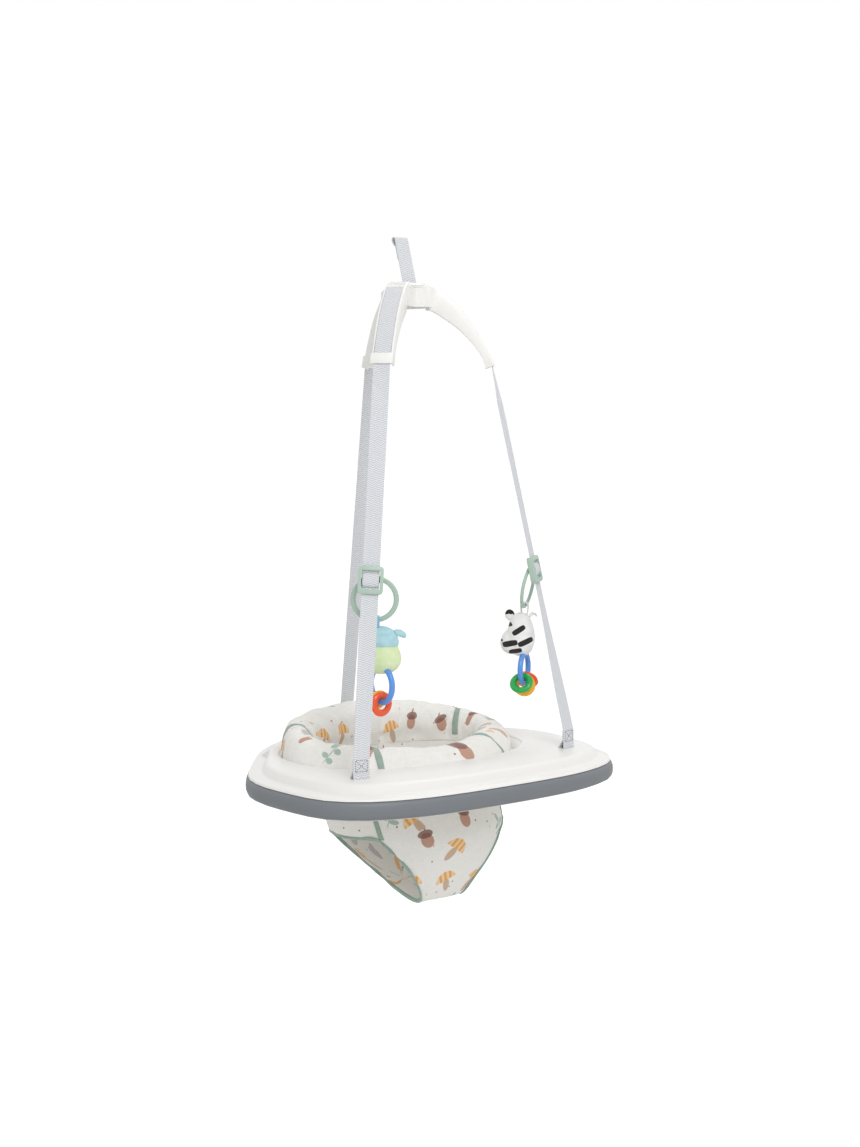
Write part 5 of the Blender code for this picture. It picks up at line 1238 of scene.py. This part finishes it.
# %% Pants
pants = copy_of("seat_pants", "cloth_pants")
subdivide(pants, 2)
WAIST, WAIST_EASE = -0.83, 0.02
CROTCH = Vector((0, -0.095, -1.052))
PULL_DEPTH, PULL_RIPPLE = 0.9 * MM, 0.35 * MM
normals = [v.normal.copy() for v in pants.data.vertices]
for vertex, normal in zip(pants.data.vertices, normals):
    place = vertex.co
    from_crotch = place - CROTCH
    spread = math.atan2(from_crotch.x, -from_crotch.y + 0.05)
    down = clamp((WAIST - place.z) / WAIST_EASE)
    pull = noise.noise(Vector((spread * 4.2, from_crotch.length * 5, 1.7)))
    ripple = noise.noise(place * 30)
    vertex.co = place + normal * down * (PULL_DEPTH * pull + PULL_RIPPLE * ripple)


def pants_chart(place, centre):
    """Print coordinates round the pants and up them."""
    heading = math.atan2(centre.y + 0.01, centre.x)
    turn = math.remainder(math.atan2(place.y + 0.01, place.x) - heading, 2 * math.pi)
    return ((heading + turn) * 0.13 + 0.9, place.z + 0.1)


print_map(pants, pants_chart)
dress(pants, linen)
stands_for(pants, "frame", "linen", "seat_pants")

on_pants = surface_of(pants)

# %% [markdown]
# A folded tape binds the edge of each leg opening. It follows the middle of the CAD roll,
# moved onto the finished cloth.

# %% Leg bindings
ROLL_ACROSS, POINT_GAP = 5.9 * MM, 5 * MM
BINDING_OUT, BINDING_SIDES = 1.2 * MM, 10
BINDING_WIDE, WIDE_PUCKER = 4.0 * MM, 0.6 * MM
BINDING_DEEP, DEEP_PUCKER = 2.1 * MM, 0.4 * MM


def middle_line(node, thickness):
    """The middle of a thin closed tube, as points in order round it."""
    places = [v.co.copy() for v in node.data.vertices]
    finder = KDTree(len(places))
    for i, place in enumerate(places):
        finder.insert(place, i)
    finder.balance()
    middles = []
    for place in places:
        ring = [found for found, _, _ in finder.find_range(place, thickness)]
        middle = sum(ring, Vector()) / len(ring)
        if all((middle - other).length > POINT_GAP for other in middles):
            middles.append(middle)
    hub = sum(middles, Vector()) / len(middles)
    flat = np.array([m - hub for m in middles])
    axes = np.linalg.svd(flat)[2]
    order = np.argsort(np.arctan2(flat @ axes[1], flat @ axes[0]))
    line = [middles[i] for i in order]
    for _ in range(2):
        line = [(line[i - 1] + line[i] * 2 + line[(i + 1) % len(line)]) / 4 for i in range(len(line))]
    return line, hub


def edge_tape(name, node, tree_of):
    """Folded tape round an opening's edge: a flat oval section swept along the tube's middle."""
    line, hub = middle_line(node, ROLL_ACROSS)
    verts = []
    count = len(line)
    for i, place in enumerate(line):
        near, normal, _, _ = tree_of.find_nearest(place)
        along = (line[(i + 1) % count] - line[i - 1]).normalized()
        across = along.cross(normal).normalized()
        if across.dot(place - hub) < 0:
            across = -across
        face = across.cross(along).normalized()
        pucker = noise.noise(place * 70)
        wide, deep = BINDING_WIDE + WIDE_PUCKER * pucker, BINDING_DEEP + DEEP_PUCKER * pucker
        centre = near + across * BINDING_OUT
        for k in range(BINDING_SIDES):
            turn = k / BINDING_SIDES * 2 * math.pi
            verts.append(centre + across * math.cos(turn) * wide + face * math.sin(turn) * deep)
    made = new_piece(name, verts, grid_faces(count, BINDING_SIDES, round_rows=True, round_columns=True))
    face_out(made)
    subdivide(made, 1)
    made.data.materials.append(sage_tape)
    return made


for side in ("left", "right"):
    node = f"leg_binding_{side}"
    binding = edge_tape(f"leg_opening_binding_{side}", frame["nodes"][node], on_pants)
    stands_for(binding, "frame", "sage_binding", node)

# %% [markdown]
# A tape runs down each side of the front panel, from the seat ring to the leg opening's
# corner. It is pressed onto the finished cloth by rays, so that it follows every pull.

# %% Side tapes
SIDE_HALF, SIDE_LIFT, SIDE_STEPS = 4.5 * MM, 0.7 * MM, 14
FAR_START, NEAR_START, HIT_MOST = 40 * MM, 30 * MM, 60 * MM
END_SLICE, LOW_LONGER, HIGH_INSET = 2 * MM, 16 * MM, 4.5 * MM


def side_tape(name, low, high, out):
    """A strip pressed onto the pants from low to high; out points away from the cloth."""
    rows = []
    for k in range(SIDE_STEPS + 1):
        far = low.lerp(high, k / SIDE_STEPS) + out * FAR_START
        hit, normal, _, _ = on_pants.ray_cast(far, -out)
        if hit is None or (hit - far).length > HIT_MOST:
            continue
        level = normal.cross(UP).normalized()
        row = []
        for share in ACROSS_SHARES:
            place = hit + level * share * SIDE_HALF
            near, _, _, _ = on_pants.ray_cast(place + out * NEAR_START, -out)
            row.append((place if near is None else near) + normal * SIDE_LIFT)
        rows.append(row)
    return cloth_strip(name, rows, 4)


def middle_of(places):
    """The mean of some places."""
    return sum(places, Vector()) / len(places)


for side, sign in (("left", -1), ("right", 1)):
    places = [v.co for v in frame["nodes"][f"side_tape_{side}"].data.vertices]
    heights = [place.z for place in places]
    low = middle_of([p for p in places if p.z < min(heights) + END_SLICE])
    high = middle_of([p for p in places if p.z > max(heights) - END_SLICE])
    low = low + (low - high).normalized() * LOW_LONGER
    high = high - Vector((sign * HIGH_INSET, 0, 0))
    out = Vector((sign * 0.75, -0.66, 0)).normalized()
    strip = side_tape(f"side_seam_tape_{side}", low, high, out)
    stands_for(strip, "frame", "sage_binding", f"side_tape_{side}")
print("pants, bindings and side tapes made")

# %% [markdown]
# ## Plush toys
#
# The toys are short velour, stuffed tight. Velour has no weave to see: it has a soft nap
# that is darker where it is brushed one way and lighter at its edges, which sheen gives. The
# forms are rebuilt from fine voxels, so that they swell and meet softly.

# %% Plush material
NAP, BRUSHED = 0.9 * MM, 11 * MM


def plush(name, colour, dark):
    """Velour: a fine nap, patches brushed two ways, and sheen at the edges."""
    material, tree, shader = finish(name, colour, 0.92, Sheen_Weight=0.5, Sheen_Roughness=0.4)
    place = add(tree, "ShaderNodeTexCoord").outputs["Object"]
    nap = add(tree, "ShaderNodeTexNoise", {"Vector": place, "Scale": 1 / NAP, "Detail": 3.0})
    brushed = add(tree, "ShaderNodeTexNoise", {"Vector": place, "Scale": 1 / BRUSHED, "Detail": 2.0})
    tone = add(tree, "ShaderNodeMapRange", {0: brushed, 1: 0.35, 2: 0.65, 3: 0.0, 4: 1.0})
    fur = tint(tree, shader, tone, linear(dark), linear(colour))
    emboss(tree, shader, nap, 0.35 * MM, Strength=0.6)
    return material, tree, shader, fur


pale_green_plush = plush("pale_green_velour", "#E3F1C6", "#D8EAB6")[0]
pale_blue_plush = plush("pale_blue_velour", "#BCE0E8", "#ABD5DF")[0]
black_plush = plush("black_velour", "#262322", "#1C1A1A")[0]
white_plush = plush("white_velour", "#F7F7F5", "#EEEEED")[0]
striped_plush, tree, shader, nap_colour = plush("striped_velour", "#F7F7F5", "#EEEEED")
white_ribbon = plush("white_satin_ribbon", "#EDEDEC", "#E0E0E0")[0]
blue_ribbon = plush("blue_satin_ribbon", "#8FC3DA", "#7DB4CF")[0]

# %% [markdown]
# The animal's bars are bold appliqués. They are painted by masks in the toy's own side view:
# the node tree turns object coordinates until X runs along that view and Z up, and draws a
# tilted oval for each bar, one for the eye, one for the nostril and one for the mouth.

# %% Stripes
HEAD_CENTRE = Vector((0.1557, -0.1172, -0.6268))
VIEW_TURN = math.radians(36.5)
place = add(tree, "ShaderNodeTexCoord").outputs["Object"]
from_head = add(tree, "ShaderNodeVectorMath", {0: place, 1: tuple(HEAD_CENTRE)}, operation="SUBTRACT")
view_side = (math.cos(VIEW_TURN), -math.sin(VIEW_TURN), 0)
sideways = add(tree, "ShaderNodeVectorMath", {0: from_head, 1: view_side}, operation="DOT_PRODUCT")
upwards = add(tree, "ShaderNodeSeparateXYZ", {0: from_head})
side_view = add(tree, "ShaderNodeCombineXYZ", {0: sideways.outputs["Value"], 1: upwards.outputs[2]})
# Each has its centre and half sizes in millimetres and its tilt in degrees. The last three
# are the eye, the nostril and the mouth.
BARS = (
    ((-4.4, 8.1), (11.8, 4.2), 34),
    ((-18, -13.8), (12, 4.8), 14),
    ((6.5, -10.6), (13, 4.6), 24),
    ((-9.3, -26.0), (10.5, 4), 14),
    ((-18, 16.5), (3.4, 3.2), 30),
    ((-30.6, -9.6), (1.5, 1.8), 0),
    ((-17, -34.8), (6, 0.8), -44),
)
tint(tree, shader, ovals_mask(tree, side_view, BARS), nap_colour, linear("#262322"))

# %% Toy pieces
PLUSH_VOXEL = 1.4 * MM
PLUSH_ROUNDS = 4
TOYS = (
    ("toy_left_body", "left_toy_head", "toy_left", pale_green_plush, "pale_green_plush"),
    ("toy_left_cap", "left_toy_cap", "toy_left", pale_blue_plush, "pale_blue_plush"),
    ("toy_left_ear", "left_toy_ear", "toy_left", pale_blue_plush, "pale_blue_plush"),
    ("toy_right_body", "right_toy_head", "toy_right", striped_plush, "white_plush"),
    ("toy_right_tuft", "right_toy_tuft", "toy_right", white_plush, "white_plush"),
)
for node, name, body, material, slot in TOYS:
    toy = copy_of(node, name)
    remesh(toy, PLUSH_VOXEL if "body" in node else PLUSH_VOXEL * 0.5, PLUSH_ROUNDS)
    subdivide(toy, 1)
    dress(toy, material)
    stands_for(toy, body, slot, node)

# %% [markdown]
# The right toy's ear is drawn again as a padded one: a flattened ball of two cloths, black
# above and white where it is sewn on.

# %% Ear
EAR_HALF = Vector((8.0, 4.6, 9.5)) * MM
EAR_SHIFT = Vector((0.0006, -0.0004, -0.0008))
EAR_LEAN, EAR_TAPER = math.radians(-14), 0.22
BLACK_ABOVE = 1.2 * MM
ear_place = middle_of([v.co for v in frame["nodes"]["toy_right_ear"].data.vertices])
shape = bmesh.new()
bmesh.ops.create_uvsphere(shape, u_segments=28, v_segments=20, radius=1)
lean = Matrix.Rotation(-VIEW_TURN, 3, "Z") @ Matrix.Rotation(EAR_LEAN, 3, "Y")
for vertex in shape.verts:
    taper = 1 - EAR_TAPER * max(-vertex.co.z, 0)
    size = Vector((EAR_HALF.x * taper, EAR_HALF.y * taper, EAR_HALF.z))
    vertex.co = lean @ Vector([a * b for a, b in zip(vertex.co, size)])
mesh = bpy.data.meshes.new("right_toy_ear")
shape.to_mesh(mesh)
shape.free()
mesh.transform(Matrix.Translation(ear_place + EAR_SHIFT))
mesh.shade_smooth()
ear = bpy.data.objects.new("right_toy_ear", mesh)
scene.collection.objects.link(ear)
mesh.materials.append(black_plush)
mesh.materials.append(white_plush)
for face in mesh.polygons:
    face.material_index = 0 if face.center.z > ear_place.z + BLACK_ABOVE else 1
stands_for(ear, "toy_right", "black_plush", "toy_right_ear")

# %% [markdown]
# The ribbon loops keep their CAD form, with the small round edges that folded satin has.

# %% Ribbon loops
RIBBON_EDGE, RIBBON_DEGREES = 0.3 * MM, 60
for node, name, body, material, slot in (
    ("toy_left_loop", "left_toy_ribbon", "toy_left", blue_ribbon, "blue_ribbon"),
    ("toy_right_loop", "right_toy_ribbon", "toy_right", white_ribbon, "white_ribbon"),
):
    ribbon = copy_of(node, name, quads=False)
    round_edges(ribbon, RIBBON_EDGE, RIBBON_DEGREES)
    settle(ribbon)
    dress(ribbon, material)
    stands_for(ribbon, body, slot, node)
print("toys made")
